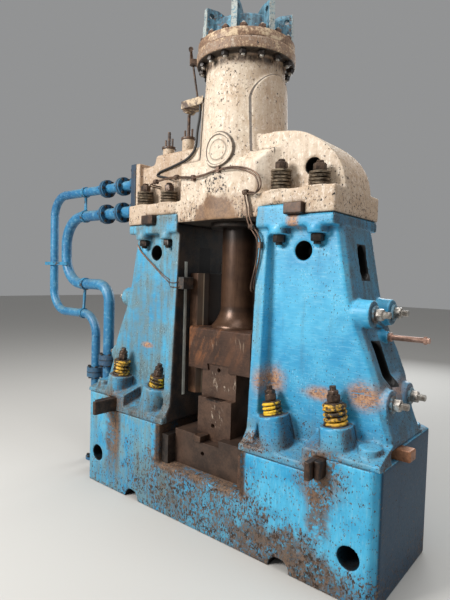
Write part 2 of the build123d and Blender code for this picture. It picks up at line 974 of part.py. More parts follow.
# Cap, valve chest and cylinder, one casting
with BuildPart() as cylinder_block:
    with BuildSketch(Plane.XY.offset(column_height)):
        Rectangle(2 * cap_middle_half_length, 2 * cap_middle_half_depth)
        end_block_length = cap_half_length - cap_middle_half_length
        for side in (-1, 1):
            with Locations((side * (cap_half_length - end_block_length / 2), 0)):
                Rectangle(end_block_length, 2 * cap_half_depth)
    extrude(amount=ledge_rise)
    with BuildSketch(Plane.XZ):
        with BuildLine():
            wall_end = (cap_half_length, column_height + wall_end_rise)
            wall_top = (wall_top_x, column_height + wall_top_rise)
            Line((-chest_root_x, column_height), (cap_half_length, column_height))
            Line((cap_half_length, column_height), wall_end)
            Spline(
                wall_end,
                (wall_shoulder_x, column_height + wall_shoulder_rise),
                (wall_bend_x, column_height + wall_bend_rise),
                wall_top,
                tangents=((0, 1), (-1, 0.1)),
            )
            wall_left = (-chest_root_x, column_height + wall_top_rise)
            Polyline(wall_top, wall_left, (-chest_root_x, column_height))
        make_face()
    extrude(amount=wall_half_depth, both=True)
    add(valve_chest.part)
    with BuildSketch(Plane.YZ.offset(chest_end_x)):
        flange_low = column_height + chest_flange_low_rise
        with Locations((0, (flange_low + chest_flange_top) / 2)):
            Rectangle(2 * chest_flange_half_depth, chest_flange_top - flange_low)
    extrude(amount=-chest_flange_thickness)
    add(breast.part)
    add(cylinder_wall(0))
    add(side_pads.part)
    add(badge.part)
    add(badge_rim.part)
    with BuildSketch(Plane.XY.offset(cylinder_flange_bottom)):
        Circle(cylinder_flange_radius)
    extrude(amount=cylinder_flange_thickness)
    with BuildSketch(Plane.XY.offset(ledge_height)):
        for side in (-1, 1):
            with Locations(*[(side * x, y) for x, y in cap_bolt_places]):
                Circle(cap_seat_radius)
    extrude(amount=seat_pad_rise)
    for sign in (-1, 1):
        with BuildSketch(Plane.XZ.offset(-sign * wall_half_depth)):
            with Locations((core_hole_x, column_height + core_hole_rise)):
                Circle(core_hole_radius)
        extrude(amount=sign * core_hole_depth, mode=Mode.SUBTRACT)
    with BuildSketch(Plane.XY.offset(bore_floor)):
        Circle(bore_radius)
    extrude(amount=cylinder_flange_top - bore_floor, mode=Mode.SUBTRACT)
    with BuildSketch(Plane.XY.offset(column_height)):
        Circle(rod_radius + rod_clearance)
    extrude(amount=bore_floor_rise, mode=Mode.SUBTRACT)
    with BuildSketch(Plane.XY.offset(column_height)):
        for side in (-1, 1):
            with Locations(*[(side * x, y) for x, y in cap_bolt_places]):
                Circle(cap_stud_radius + key_clearance)
    extrude(amount=cap_seat_height - column_height, mode=Mode.SUBTRACT)
    notch_start_x = lug_start_x - key_clearance
    notch_end_x = lug_end_x + cap_key_width + key_clearance
    notch_back = flange_half_depth - lug_depth - key_clearance
    with BuildSketch(Plane.XY.offset(column_height)):
        for side in (-1, 1):
            notch_x = side * (notch_start_x + notch_end_x) / 2
            with Locations(*[(notch_x, y) for y in both_sides((notch_back + cap_half_depth) / 2)]):
                Rectangle(notch_end_x - notch_start_x, cap_half_depth - notch_back)
    extrude(amount=lug_rise + key_clearance, mode=Mode.SUBTRACT)
    with BuildSketch(Plane.XY.offset(cylinder_flange_bottom)):
        with PolarLocations(cover_bolt_circle, cover_bolt_count, start_angle=180 / cover_bolt_count):
            Circle(cover_stud_radius + key_clearance)
    extrude(amount=cylinder_flange_thickness, mode=Mode.SUBTRACT)
keep(cylinder_block.part, "cylinder_block")

# Keys beside the lugs of the columns
with BuildPart() as right_cap_keys:
    key_back = flange_half_depth - lug_depth
    key_front = cap_half_depth + cap_key_stand_out
    with BuildSketch(Plane.XY.offset(column_height)):
        with Locations(*[(lug_end_x + cap_key_width / 2, y) for y in both_sides((key_back + key_front) / 2)]):
            Rectangle(cap_key_width, key_front - key_back)
    extrude(amount=lug_rise)
    chamfer(right_cap_keys.edges().filter_by(Axis.X), cap_key_chamfer)
keep(right_cap_keys.part, "right_cap_keys")
keep(mirrored(right_cap_keys.part), "left_cap_keys")

# Disc springs on the cap and the studs through them
def cap_spring_set(name, side, counts):
    with BuildPart() as springs:
        for bolt_x, count in zip((inner_cap_bolt_x, outer_cap_bolt_x), counts):
            stack_height = count * disc_pitch
            for y in both_sides(cap_bolt_y):
                seat = Plane((side * bolt_x, y, cap_seat_height))
                add(spring_on(seat, disc_radius, stack_height, count, cap_stud_radius))
    keep(springs.part, name)


def cap_bolt_set(name, side, counts):
    nut_seat = flange_bottom - flange_boss_drop
    stud_low = nut_seat - cap_nut_height - cap_stud_end
    with BuildPart() as bolts:
        for bolt_x, count in zip((inner_cap_bolt_x, outer_cap_bolt_x), counts):
            spring_top = cap_seat_height + count * disc_pitch
            places = [(side * bolt_x, y) for y in both_sides(cap_bolt_y)]
            with BuildSketch(Plane.XY.offset(stud_low)):
                with Locations(*places):
                    Circle(cap_stud_radius)
            extrude(amount=spring_top + cap_nut_height + cap_stud_end - stud_low)
            for nut_low in (spring_top, nut_seat - cap_nut_height):
                with BuildSketch(Plane.XY.offset(nut_low)):
                    with Locations(*places):
                        RegularPolygon(cap_nut_across / 2, 6, major_radius=False)
                extrude(amount=cap_nut_height)
    keep(bolts.part, name)


cap_spring_set("right_cap_springs", 1, right_disc_counts)
cap_spring_set("left_cap_springs", -1, left_disc_counts)
cap_bolt_set("right_cap_bolts", 1, right_disc_counts)
cap_bolt_set("left_cap_bolts", -1, left_disc_counts)

# Cylinder cover with radial ribs
with BuildPart() as cylinder_cover:
    with BuildSketch(Plane.XY.offset(cover_bottom)):
        Circle(cover_radius)
    extrude(amount=cover_flange_thickness)
    with BuildSketch(Plane.XY.offset(cover_top)):
        Circle(drum_radius)
    extrude(amount=drum_height)
    chamfer(cylinder_cover.edges().group_by(Axis.Z)[-1], drum_edge)
    for rib in range(rib_count):
        angle = radians((rib + 0.5) * 360 / rib_count)
        outward = (cos(angle), sin(angle), 0)
        radial = Plane(origin=(0, 0, cover_top), x_dir=outward, z_dir=(sin(angle), -cos(angle), 0))
        with BuildSketch(radial):
            with BuildLine():
                Polyline(
                    (0, 0),
                    (rib_radius, 0),
                    (rib_radius - rib_lean, rib_rise),
                    (rib_radius - rib_head_width, rib_rise),
                    (rib_root_radius, drum_height + rib_root_rise),
                    (0, drum_height + rib_root_rise),
                    close=True,
                )
            make_face()
            with Locations((rib_radius - rib_hole_in, rib_rise - rib_hole_drop)):
                Circle(rib_hole_radius, mode=Mode.SUBTRACT)
        extrude(amount=rib_thickness / 2, both=True)
    with BuildSketch(Plane.XY.offset(cover_bottom)):
        with PolarLocations(cover_bolt_circle, cover_bolt_count, start_angle=180 / cover_bolt_count):
            Circle(cover_stud_radius + key_clearance)
    extrude(amount=cover_flange_thickness, mode=Mode.SUBTRACT)
keep(cylinder_cover.part, "cylinder_cover")

with BuildPart() as cover_bolts:
    stud_low = cylinder_flange_bottom - cover_nut_height - cover_stud_end
    stud_high = cover_top + cover_nut_height + cover_stud_end
    with BuildSketch(Plane.XY.offset(stud_low)):
        with PolarLocations(cover_bolt_circle, cover_bolt_count, start_angle=180 / cover_bolt_count):
            Circle(cover_stud_radius)
    extrude(amount=stud_high - stud_low)
    for nut_low in (cover_top, cylinder_flange_bottom - cover_nut_height):
        with BuildSketch(Plane.XY.offset(nut_low)):
            with PolarLocations(cover_bolt_circle, cover_bolt_count, start_angle=180 / cover_bolt_count):
                RegularPolygon(cover_nut_across / 2, 6, major_radius=False)
        extrude(amount=cover_nut_height)
keep(cover_bolts.part, "cover_bolts")

# Packing gland under the cap
with BuildPart() as packing_gland:
    with BuildSketch(Plane.XY.offset(column_height)):
        Circle(packing_gland_radius)
        Circle(rod_radius + rod_clearance, mode=Mode.SUBTRACT)
    extrude(amount=-packing_gland_drop)
    chamfer(packing_gland.edges().group_by(Axis.Z)[0].sort_by(SortBy.LENGTH)[-1], packing_gland_chamfer)
keep(packing_gland.part, "packing_gland")

# Guides on the inner faces of the columns
with BuildPart() as right_guide:
    with BuildSketch(Plane.XY.offset(guide_bottom)):
        with BuildLine():
            Polyline(
                (inner_face_x, -guide_front),
                (guide_face_x, -guide_front),
                (guide_nose_x, -guide_nose_half),
                (guide_nose_x, guide_nose_half),
                (guide_face_x, guide_front),
                (inner_face_x, guide_front),
                close=True,
            )
        make_face()
    extrude(amount=guide_top - guide_bottom)
keep(right_guide.part, "right_guide")
keep(mirrored(right_guide.part), "left_guide")

# Ram with grooves that run on the guides
with BuildPart() as ram:
    groove_face = guide_face_x - running_clearance
    groove_nose = guide_nose_x - running_clearance
    with BuildSketch(Plane.XY.offset(ram_bottom)):
        Rectangle(2 * ram_half_width, 2 * ram_half_depth)
        for side in (-1, 1):
            with BuildLine():
                Polyline(
                    (side * ram_half_width, -guide_front - running_clearance),
                    (side * groove_face, -guide_front - running_clearance),
                    (side * groove_nose, -guide_nose_half - running_clearance),
                    (side * groove_nose, guide_nose_half + running_clearance),
                    (side * groove_face, guide_front + running_clearance),
                    (side * ram_half_width, guide_front + running_clearance),
                    close=True,
                )
            make_face(mode=Mode.SUBTRACT)
    extrude(amount=ram_height)
    chamfer(ram.edges().group_by(Axis.Z)[-1].filter_by(Axis.X), ram_chamfer)
    slot_half = upper_shank_half_width + slot_clearance
    slot_height = shank_height + slot_clearance
    with BuildSketch(Plane.XZ):
        with BuildLine():
            Polyline(
                (-slot_half, ram_bottom),
                (slot_half, ram_bottom),
                (slot_half + slot_flare, ram_bottom + slot_height),
                (-slot_half - slot_flare, ram_bottom + slot_height),
                close=True,
            )
        make_face()
    extrude(amount=ram_half_depth, both=True, mode=Mode.SUBTRACT)
keep(ram.part, "ram")

# Piston rod, flared where it enters the ram, with the piston inside the cylinder
with BuildPart() as piston_rod:
    piston_bottom = bore_floor + piston_lift
    with BuildSketch(Plane.XZ):
        with BuildLine():
            Line((0, ram_top), (flare_radius, ram_top))
            Line((flare_radius, ram_top), (flare_radius, ram_top + flare_rim))
            ThreePointArc(
                (flare_radius, ram_top + flare_rim),
                (rod_radius + flare_waist, ram_top + 0.45 * flare_height),
                (rod_radius, ram_top + flare_height),
            )
            Line((rod_radius, ram_top + flare_height), (rod_radius, piston_bottom))
            Line((rod_radius, piston_bottom), (0, piston_bottom))
            Line((0, piston_bottom), (0, ram_top))
        make_face()
    revolve(axis=Axis.Z)
    with BuildSketch(Plane.XY.offset(piston_bottom)):
        Circle(bore_radius - rod_clearance)
    extrude(amount=piston_thickness)
keep(piston_rod.part, "piston_rod")

# Sow block that carries the lower die
with BuildPart() as sow_block:
    with BuildSketch(Plane.XZ):
        with BuildLine():
            Polyline(
                (-sow_half_width, recess_floor),
                (sow_half_width, recess_floor),
                (sow_half_width, sow_top),
                (slot_half_width, sow_top),
                (slot_half_width + slot_flare, sow_top - sow_slot_depth),
                (-slot_half_width - slot_flare, sow_top - sow_slot_depth),
                (-slot_half_width, sow_top),
                (-sow_half_width, sow_top),
                close=True,
            )
        make_face()
    extrude(amount=sow_half_depth, both=True)
    for sign in (-1, 1):
        with BuildSketch(Plane.XZ.offset(-sign * sow_half_depth)):
            with Locations((sow_tap_x, sow_top - sow_tap_drop)):
                Circle(lifting_tap_radius)
        extrude(amount=sign * lifting_tap_depth, mode=Mode.SUBTRACT)
keep(sow_block.part, "sow_block")


# Keys between the sow block and the walls of the recess
def sow_key(name, side, stand_out):
    with BuildPart() as key:
        key_x = side * (recess_width / 2 + sow_half_width) / 2
        with BuildSketch(Plane.XY.offset(recess_floor)):
            with Locations((key_x, 0)):
                key_width = recess_width / 2 - sow_half_width - 2 * key_clearance
                Rectangle(key_width, 2 * (sow_half_depth + stand_out))
        extrude(amount=sow_key_height)
    keep(key.part, name)


sow_key("right_sow_key", 1, right_sow_key_stand_out)
sow_key("left_sow_key", -1, left_sow_key_stand_out)

shank_left = -slot_half_width + die_key_width
sow_slot_floor = sow_top - sow_slot_depth

# Lower die with its shank in the slot of the sow block
with BuildPart() as lower_die:
    with BuildSketch(Plane.XZ):
        with BuildLine():
            shank_bottom = sow_slot_floor + slot_clearance
            Polyline(
                (-lower_die_half_width, sow_top),
                (shank_left + slot_clearance, sow_top),
                (shank_left - slot_flare + slot_clearance, shank_bottom),
                (slot_half_width + slot_flare - slot_clearance, shank_bottom),
                (slot_half_width - slot_clearance, sow_top),
                (lower_die_half_width, sow_top),
                (lower_die_half_width, die_split),
                (-lower_die_half_width, die_split),
                close=True,
            )
        make_face()
    extrude(amount=lower_die_half_depth, both=True)
    with BuildSketch(Plane.XZ.offset(lower_die_half_depth)):
        with Locations((lower_die_tap_x, sow_top + lower_die_tap_rise)):
            Circle(lifting_tap_radius)
    extrude(amount=-lifting_tap_depth, mode=Mode.SUBTRACT)
    with BuildSketch(Plane.XZ.offset(lower_die_half_depth)):
        with Locations((0, die_split)):
            SlotOverall(lower_die_half_width, die_flash_radius)
    extrude(amount=-die_flash_length, mode=Mode.SUBTRACT)
keep(lower_die.part, "lower_die")

with BuildPart() as lower_die_key:
    with BuildSketch(Plane.XZ):
        with BuildLine():
            Polyline(
                (-slot_half_width + slot_clearance, sow_top - slot_clearance),
                (-slot_half_width - slot_flare + slot_clearance, sow_slot_floor),
                (shank_left - slot_flare - slot_clearance, sow_slot_floor),
                (shank_left - slot_clearance, sow_top - slot_clearance),
                close=True,
            )
        make_face()
    extrude(amount=sow_half_depth + die_key_stand_out, both=True)
keep(lower_die_key.part, "lower_die_key")

# Upper die with its shank in the slot of the ram
with BuildPart() as upper_die:
    with BuildSketch(Plane.XZ):
        with BuildLine():
            shank_top = ram_bottom + shank_height
            Polyline(
                (-upper_die_half_width, die_split + die_gap),
                (upper_die_half_width, die_split + die_gap),
                (upper_die_half_width, ram_bottom),
                (upper_shank_half_width, ram_bottom),
                (upper_shank_half_width + slot_flare, shank_top),
                (-upper_shank_half_width - slot_flare, shank_top),
                (-upper_shank_half_width, ram_bottom),
                (-upper_die_half_width, ram_bottom),
                close=True,
            )
        make_face()
    extrude(amount=upper_die_half_depth, both=True)
    with BuildSketch(Plane.XZ.offset(upper_die_half_depth)):
        with Locations((0, ram_bottom + upper_die_tap_rise)):
            Circle(lifting_tap_radius)
    extrude(amount=-lifting_tap_depth, mode=Mode.SUBTRACT)
keep(upper_die.part, "upper_die")

# End plate of the valve chest, which the pipes are bolted to
with BuildPart() as chest_end_plate:
    with BuildSketch(Plane.YZ.offset(plate_inner_x)):
        plate_low = column_height + end_plate_low_rise
        with Locations((0, (plate_low + chest_flange_top) / 2)):
            Rectangle(2 * chest_flange_half_depth, chest_flange_top - plate_low)
    extrude(amount=-end_plate_thickness)
keep(chest_end_plate.part, "chest_end_plate")


# Glands on top of the valve chest
def chest_gland(name, x, height, spindle_height):
    with BuildPart() as gland:
        flange_seat = chest_high_top + height
        spindle_seat = flange_seat + gland_flange_thickness
        with BuildSketch(Plane.XY.offset(chest_high_top)):
            with Locations((x, gland_y)):
                Circle(gland_radius)
        extrude(amount=height)
        with BuildSketch(Plane.XY.offset(flange_seat)):
            with Locations((x, gland_y)):
                Circle(gland_flange_radius)
        extrude(amount=gland_flange_thickness)
        with BuildSketch(Plane.XY.offset(spindle_seat)):
            with Locations((x, gland_y)):
                Circle(spindle_radius)
        extrude(amount=spindle_height - height - gland_flange_thickness)
        with BuildSketch(Plane.XY.offset(spindle_seat)):
            with Locations(*[(x + offset, gland_y) for offset in both_sides(gland_stud_offset)]):
                Circle(gland_stud_radius)
        extrude(amount=gland_stud_height)
    keep(gland.part, name)


chest_gland("throttle_gland", throttle_gland_x, throttle_gland_height, throttle_spindle_height)
chest_gland("valve_gland", valve_gland_x, valve_gland_height, valve_spindle_height)

# Bracket on the cylinder for the valve lever
with BuildPart() as lever_bracket:
    share_up = (bracket_rise - cylinder_foot_rise) / (cylinder_flange_rise - cylinder_foot_rise)
    cone_radius = cylinder_foot_radius + share_up * (cylinder_top_radius - cylinder_foot_radius)
    with BuildSketch(Plane.XY.offset(bracket_low)):
        bracket_root_x = -cylinder_top_radius + 2 * bracket_eye_radius
        with Locations(((bracket_root_x + bracket_end_x) / 2, (bracket_front + bracket_back) / 2)):
            Rectangle(bracket_root_x - bracket_end_x, bracket_back - bracket_front)
        Circle(cone_radius + side_pad_thickness + key_clearance, mode=Mode.SUBTRACT)
    extrude(amount=bracket_thickness)
    with BuildSketch(Plane.XZ.offset(-gland_y + bracket_eye_length / 2)):
        with Locations((valve_gland_x, bracket_low + bracket_eye_rise)):
            Circle(bracket_eye_radius)
    extrude(amount=-bracket_eye_length)
keep(lever_bracket.part, "lever_bracket")

# Rod of the valve gear, from a lug on the cylinder flange down to the bracket
with BuildPart() as lever_rod:
    lug_angle = radians(lever_lug_angle)
    lug_x = lever_lug_radius * cos(lug_angle)
    lug_y = lever_lug_radius * sin(lug_angle)
    lug_high = cylinder_flange_top - lever_lug_drop
    with BuildSketch(Plane.XY.offset(lug_high)):
        with Locations(Location((0, 0, 0), (0, 0, lever_lug_angle))):
            with Locations((lever_lug_radius - lever_lug_width, 0)):
                Rectangle(2 * lever_lug_width, lever_lug_width)
        Circle(cylinder_flange_radius + key_clearance, mode=Mode.SUBTRACT)
    extrude(amount=-lever_lug_thickness)
    rod_top = (lug_x, lug_y, column_height + lever_rod_rise)
    rod_foot = (lever_foot_x, lever_foot_y, bracket_low + bracket_thickness + key_clearance)
    with BuildSketch(Plane.XY.offset(lug_high - lever_lug_thickness)):
        with Locations((lug_x, lug_y)):
            Circle(lever_rod_radius)
    extrude(amount=rod_top[2] - lug_high + lever_lug_thickness)
    rod_run = Vector(*rod_foot) - Vector(*rod_top)
    with BuildSketch(Plane(origin=rod_top, z_dir=rod_run)):
        Circle(lever_rod_radius)
    extrude(amount=rod_run.length + 2 * lever_rod_radius)
    split(bisect_by=Plane(rod_foot), keep=Keep.TOP)
    with BuildSketch(Plane(origin=rod_top, z_dir=(sin(lug_angle), -cos(lug_angle), 0)).offset(-lever_eye_radius / 2)):
        Circle(lever_eye_radius)
    extrude(amount=lever_eye_radius)
keep(lever_rod.part, "lever_rod")


# Pipe from the end plate, out to the left, down and back to the floor beside the anvil
def pipe(name, points, radius, bends, collar_height):
    places = [(x, pipe_y, z) for x, z in points]
    bore = radius - pipe_wall
    foot_x = points[-1][0]
    with BuildPart() as tube:
        add(tube_along(places, radius, bends, bore))
        for gap in (0, pipe_flange_gap_1, pipe_flange_gap_2):
            with BuildSketch(Plane.YZ.offset(plate_face_x - gap)):
                with Locations((pipe_y, points[0][1])):
                    Circle(radius + pipe_flange_width)
                    Circle(bore, mode=Mode.SUBTRACT)
            extrude(amount=-pipe_flange_thickness)
        with BuildSketch(Plane.XY):
            with Locations((foot_x, pipe_y)):
                Circle(radius + pipe_flange_width)
                Circle(bore, mode=Mode.SUBTRACT)
        extrude(amount=floor_flange_thickness)
        with BuildSketch(Plane.XY.offset(collar_height - pipe_flange_thickness)):
            with Locations((foot_x, pipe_y)):
                Circle(radius + pipe_flange_width)
                Circle(bore, mode=Mode.SUBTRACT)
        extrude(amount=2 * pipe_flange_thickness)
    keep(tube.part, name)


inlet_route = [
    (plate_face_x, inlet_height),
    (inlet_far_x, inlet_height),
    (inlet_far_x, inlet_low_height),
    (inlet_foot_x, inlet_low_height),
    (inlet_foot_x, 0),
]
outlet_route = [
    (plate_face_x, outlet_height),
    (outlet_far_x, outlet_height),
    (outlet_far_x, outlet_low_height),
    (outlet_foot_x, outlet_low_height),
    (outlet_foot_x, 0),
]
pipe("inlet_pipe", inlet_route, inlet_pipe_radius, inlet_bends, inlet_collar_height)
pipe("outlet_pipe", outlet_route, outlet_pipe_radius, outlet_bends, outlet_collar_height)


# Ring round a pipe that runs along the machine
def clamp_ring(x, height, radius):
    with BuildPart() as ring:
        with BuildSketch(Plane.YZ.offset(x - clamp_width / 2)):
            with Locations((pipe_y, height)):
                Circle(radius + clamp_thickness)
        extrude(amount=clamp_width)
    return ring.part


# Round bar between two clamps
def link_bar(start, end):
    with BuildPart() as bar:
        with BuildSketch(Plane(origin=start, z_dir=Vector(*end) - Vector(*start))):
            Circle(link_radius)
        extrude(amount=(Vector(*end) - Vector(*start)).length)
    return bar.part


# Clamps that tie the two pipes together
with BuildPart() as pipe_clamps:
    add(clamp_ring(clamp_x, inlet_height, inlet_pipe_radius))
    add(clamp_ring(clamp_x, outlet_height, outlet_pipe_radius))
    add(link_bar((clamp_x, pipe_y, outlet_height), (clamp_x, pipe_y, inlet_height)))
    low_inlet_clamp_x = clamp_x - low_clamp_shift
    low_outlet_clamp_x = clamp_x + low_clamp_shift
    add(clamp_ring(low_inlet_clamp_x, inlet_low_height, inlet_pipe_radius))
    add(clamp_ring(low_outlet_clamp_x, outlet_low_height, outlet_pipe_radius))
    low_link_start = (low_outlet_clamp_x, pipe_y, outlet_low_height)
    add(link_bar(low_link_start, (low_inlet_clamp_x, pipe_y, inlet_low_height)))
    strap_start_x = inlet_far_x - inlet_pipe_radius - strap_stand_out
    strap_end_x = outlet_far_x + outlet_pipe_radius + strap_stand_out
    with BuildSketch(Plane.XY.offset(strap_height - clamp_width / 2)):
        with Locations(((strap_start_x + strap_end_x) / 2, pipe_y - outlet_pipe_radius)):
            Rectangle(strap_end_x - strap_start_x, 2 * clamp_thickness)
    extrude(amount=clamp_width)
    for route, radius, bends in (
        (inlet_route, inlet_pipe_radius, inlet_bends),
        (outlet_route, outlet_pipe_radius, outlet_bends),
    ):
        places = [(x, pipe_y, z) for x, z in route]
        add(tube_along(places, radius + key_clearance, bends), mode=Mode.SUBTRACT)
keep(pipe_clamps.part, "pipe_clamps")

oil_places = [(x, y, column_height + rise) for x, y, rise in oil_route]
hose_top = bracket_low - key_clearance
hose_places = [(*hose_start, hose_top), (*hose_start, hose_top - hose_drop)]
hose_places += [(x, y, column_height + rise) for x, y, rise in hose_route]

# Twin oil tubes across the front of the cap and down to the right guide, with clips
with BuildPart() as oil_tubes:
    for sign in (-1, 1):
        shifted = [Vector(*place) + Vector(*oil_tube_spread) * sign for place in oil_places]
        add(tube_along(shifted, oil_tube_radius, bend_radii(shifted)))
    for place in (oil_places[5], oil_places[7], oil_places[19]):
        with Locations(place):
            Box(clip_width, clip_depth, clip_height, align=(Align.CENTER, Align.MIN, Align.CENTER))
            Box(clip_width, clip_front, clip_height, align=(Align.CENTER, Align.MAX, Align.CENTER))
    add(cylinder_block.part, mode=Mode.SUBTRACT)
    add(right_column.part, mode=Mode.SUBTRACT)
keep(oil_tubes.part, "oil_tubes")

# Hose from the lever bracket to the front of the valve chest
with BuildPart() as oil_hose:
    add(tube_along(hose_places, hose_radius, bend_radii(hose_places)))
    add(valve_chest.part, mode=Mode.SUBTRACT)
keep(oil_hose.part, "oil_hose")

# Lubricator on the inner face of the left column
with BuildPart() as lubricator:
    lubricator_low = seat_height + lubricator_rise
    with Locations((-inner_face_x, -lubricator_front, lubricator_low)):
        Box(lubricator_width, lubricator_depth, lubricator_height, align=(Align.MIN, Align.MIN, Align.MIN))
    chamfer(lubricator.edges().filter_by(Axis.Y).group_by(Axis.X)[-1], lubricator_chamfer)
keep(lubricator.part, "lubricator")
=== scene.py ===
import bpy
import math
import numpy as np
from mathutils import Matrix, Vector


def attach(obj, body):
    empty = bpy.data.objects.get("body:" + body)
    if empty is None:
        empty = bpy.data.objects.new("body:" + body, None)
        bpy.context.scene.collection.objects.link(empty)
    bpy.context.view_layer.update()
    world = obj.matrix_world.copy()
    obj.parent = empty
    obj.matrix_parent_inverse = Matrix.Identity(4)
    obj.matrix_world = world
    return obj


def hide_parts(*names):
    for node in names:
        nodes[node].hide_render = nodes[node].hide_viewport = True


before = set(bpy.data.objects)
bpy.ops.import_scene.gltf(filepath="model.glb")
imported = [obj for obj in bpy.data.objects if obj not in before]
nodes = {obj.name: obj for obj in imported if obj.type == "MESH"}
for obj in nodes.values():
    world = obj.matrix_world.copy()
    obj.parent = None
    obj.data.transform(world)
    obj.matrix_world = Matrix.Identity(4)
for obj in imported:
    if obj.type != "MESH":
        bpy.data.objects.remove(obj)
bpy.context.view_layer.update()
print("frame loaded:", len(nodes), "nodes")


# Surfaces: each is an array of points and one of triangles, with the faces outwards

def outward(points, tris):
    # the signed volume, a sum of a . (b x c), is negative where the faces point in
    a, b, c = points[tris[:, 0]], points[tris[:, 1]], points[tris[:, 2]]
    volume = np.einsum("ij,ij->i", a - points.mean(axis=0), np.cross(b - a, c - a)).sum()
    return points, (tris if volume > 0 else tris[:, ::-1])


def shell(rows, loop=False):
    # rows[i, j] is the point at step i of the path and step j round it; fans close the ends unless it loops
    count, ring = rows.shape[:2]
    index = np.arange(count * ring).reshape(count, ring)
    if loop:
        index = np.concatenate([index, index[:1]])
    following = np.roll(index, -1, axis=1)
    a, b, c, d = (part.ravel() for part in (index[:-1], following[:-1], following[1:], index[1:]))
    tris = np.concatenate([np.stack([a, b, c], 1), np.stack([a, c, d], 1)])
    points = rows.reshape(-1, 3)
    if not loop:
        step = np.arange(ring)
        turn = np.roll(step, -1)
        last = (count - 1) * ring
        low = np.stack([np.full(ring, len(points)), turn, step], 1)
        high = np.stack([np.full(ring, len(points) + 1), last + step, last + turn], 1)
        points = np.concatenate([points, [rows[0].mean(axis=0), rows[-1].mean(axis=0)]])
        tris = np.concatenate([tris, low, high])
    return outward(points, tris)


def anglesOf(sides):
    return np.arange(sides) * 2 * math.pi / sides


def polar(radius, angle, height):
    # points at a radius, an angle and a height, given as arrays that fit each other
    return np.stack(np.broadcast_arrays(radius * np.cos(angle), radius * np.sin(angle), height), -1)


def ringOf(profile, sides=40):
    # a closed profile of (radius, height) turned about Z, like a washer
    radius, height = np.array(profile, float).T
    return shell(polar(radius, anglesOf(sides)[:, None], height), loop=True)


def washerOf(bore, radius, thickness):
    edge = min(0.002, thickness / 3)
    return ringOf([(bore, 0), (radius - edge, 0), (radius, edge), (radius, thickness - edge),
                   (radius - edge, thickness), (bore, thickness)])


def nutOf(across, height, sides=60):
    # a profile turned about Z whose rings are trimmed to a hexagon: a cone cuts the corners at both ends
    half = across / 2
    corner = half / math.cos(math.pi / 6)
    cut = 0.3 * (corner - half) + 0.003
    profile = np.array([(half * 0.8, 0), (half * 0.97, 0), (corner, cut), (corner, height - cut),
                        (half * 0.97, height), (half * 0.8, height)])
    angle = anglesOf(sides)
    flat = half / np.cos((angle + math.pi / 6) % (math.pi / 3) - math.pi / 6)
    return shell(polar(np.minimum(profile[:, :1], flat), angle, profile[:, 1:]))


def studOf(radius, length, pitch=0.0036, sides=18):
    # the radius falls with the cosine of height over pitch less the angle, so that the thread climbs
    tip, depth = 0.003, 0.42 * pitch
    height = np.linspace(0, length - tip, max(8, int(5 * length / pitch)))[:, None]
    angle = anglesOf(sides)
    wave = 0.5 - 0.5 * np.cos(2 * math.pi * height / pitch - angle)
    rows = polar(radius - depth * wave, angle, height)
    return shell(np.concatenate([rows, rows[-1:] * (0.86, 0.86, 1) + (0, 0, tip)]))


def coil(radius, wire, turns, height, steps=30, sides=10):
    # a helix of round wire whose first and last turns lie flat
    share = np.linspace(0, 1, int(turns * steps) + 1)[:, None]
    lead = 0.7 / turns
    rise = np.clip((share - lead) / (1 - 2 * lead), 0, 1)
    turn = anglesOf(sides)
    height = wire + (height - 2 * wire) * rise + wire * np.sin(turn)
    return shell(polar(radius + wire * np.cos(turn), 2 * math.pi * turns * share, height))


def smoothPath(points, steps=8):
    # Catmull-Rom: each span is a cubic whose end slopes are half of the chord past it
    points = np.array(points, float)
    padded = np.concatenate([[2 * points[0] - points[1]], points, [2 * points[-1] - points[-2]]])
    t = np.linspace(0, 1, steps, endpoint=False)[None, :, None]
    p0, p1, p2, p3 = (padded[i:len(padded) - 3 + i][:, None, :] for i in range(4))
    spans = 0.5 * (2 * p1 + (p2 - p0) * t + (2 * p0 - 5 * p1 + 4 * p2 - p3) * t ** 2
                   + (3 * p1 - p0 - 3 * p2 + p3) * t ** 3)
    return np.concatenate([spans.reshape(-1, 3), points[-1:]])


def tubeOn(points, radius, sides):
    # a ring of the radius at each step of a smooth path through the points, square to the path
    path = smoothPath(points)
    ahead = np.gradient(path, axis=0)
    ahead /= np.linalg.norm(ahead, axis=1)[:, None]
    up = np.zeros(3)
    up[int(np.argmin(np.ptp(path, axis=0)))] = 1
    across = np.cross(ahead, up)
    across /= np.linalg.norm(across, axis=1)[:, None]
    third = np.cross(across, ahead)
    angle = anglesOf(sides)[:, None]
    return shell(path[:, None] + radius * (np.cos(angle) * across[:, None] + np.sin(angle) * third[:, None]))


def block(low, high, edge=0.002):
    # a box with its edges cut: eight corner points round, at four heights
    (x0, y0, z0), (x1, y1, z1) = low, high
    e = edge
    outline = np.array([(x1 - e, y0), (x1, y0 + e), (x1, y1 - e), (x1 - e, y1),
                        (x0 + e, y1), (x0, y1 - e), (x0, y0 + e), (x0 + e, y0)])
    middle = outline.mean(axis=0)
    inner = middle + (outline - middle) * (1 - 2 * e / np.array([x1 - x0, y1 - y0]))
    rings = [(inner, z0), (outline, z0 + e), (outline, z1 - e), (inner, z1)]
    return shell(np.stack([np.column_stack([ring, np.full(8, z)]) for ring, z in rings]))


def put(piece, origin, axis=(0, 0, 1), spin=0.0):
    # turns +Z to the axis after a spin about Z, then moves it
    turn = Vector((0, 0, 1)).rotation_difference(Vector(axis)).to_matrix() @ Matrix.Rotation(spin, 3, "Z")
    points, tris = piece
    return points @ np.array(turn).T + np.array(origin, float), tris


def stacked(seat, axis, pieces):
    # puts each piece at its height over the seat, with its own spin
    return [put(piece, [start + way * height for start, way in zip(seat, axis)], axis, spin)
            for piece, height, spin in pieces]


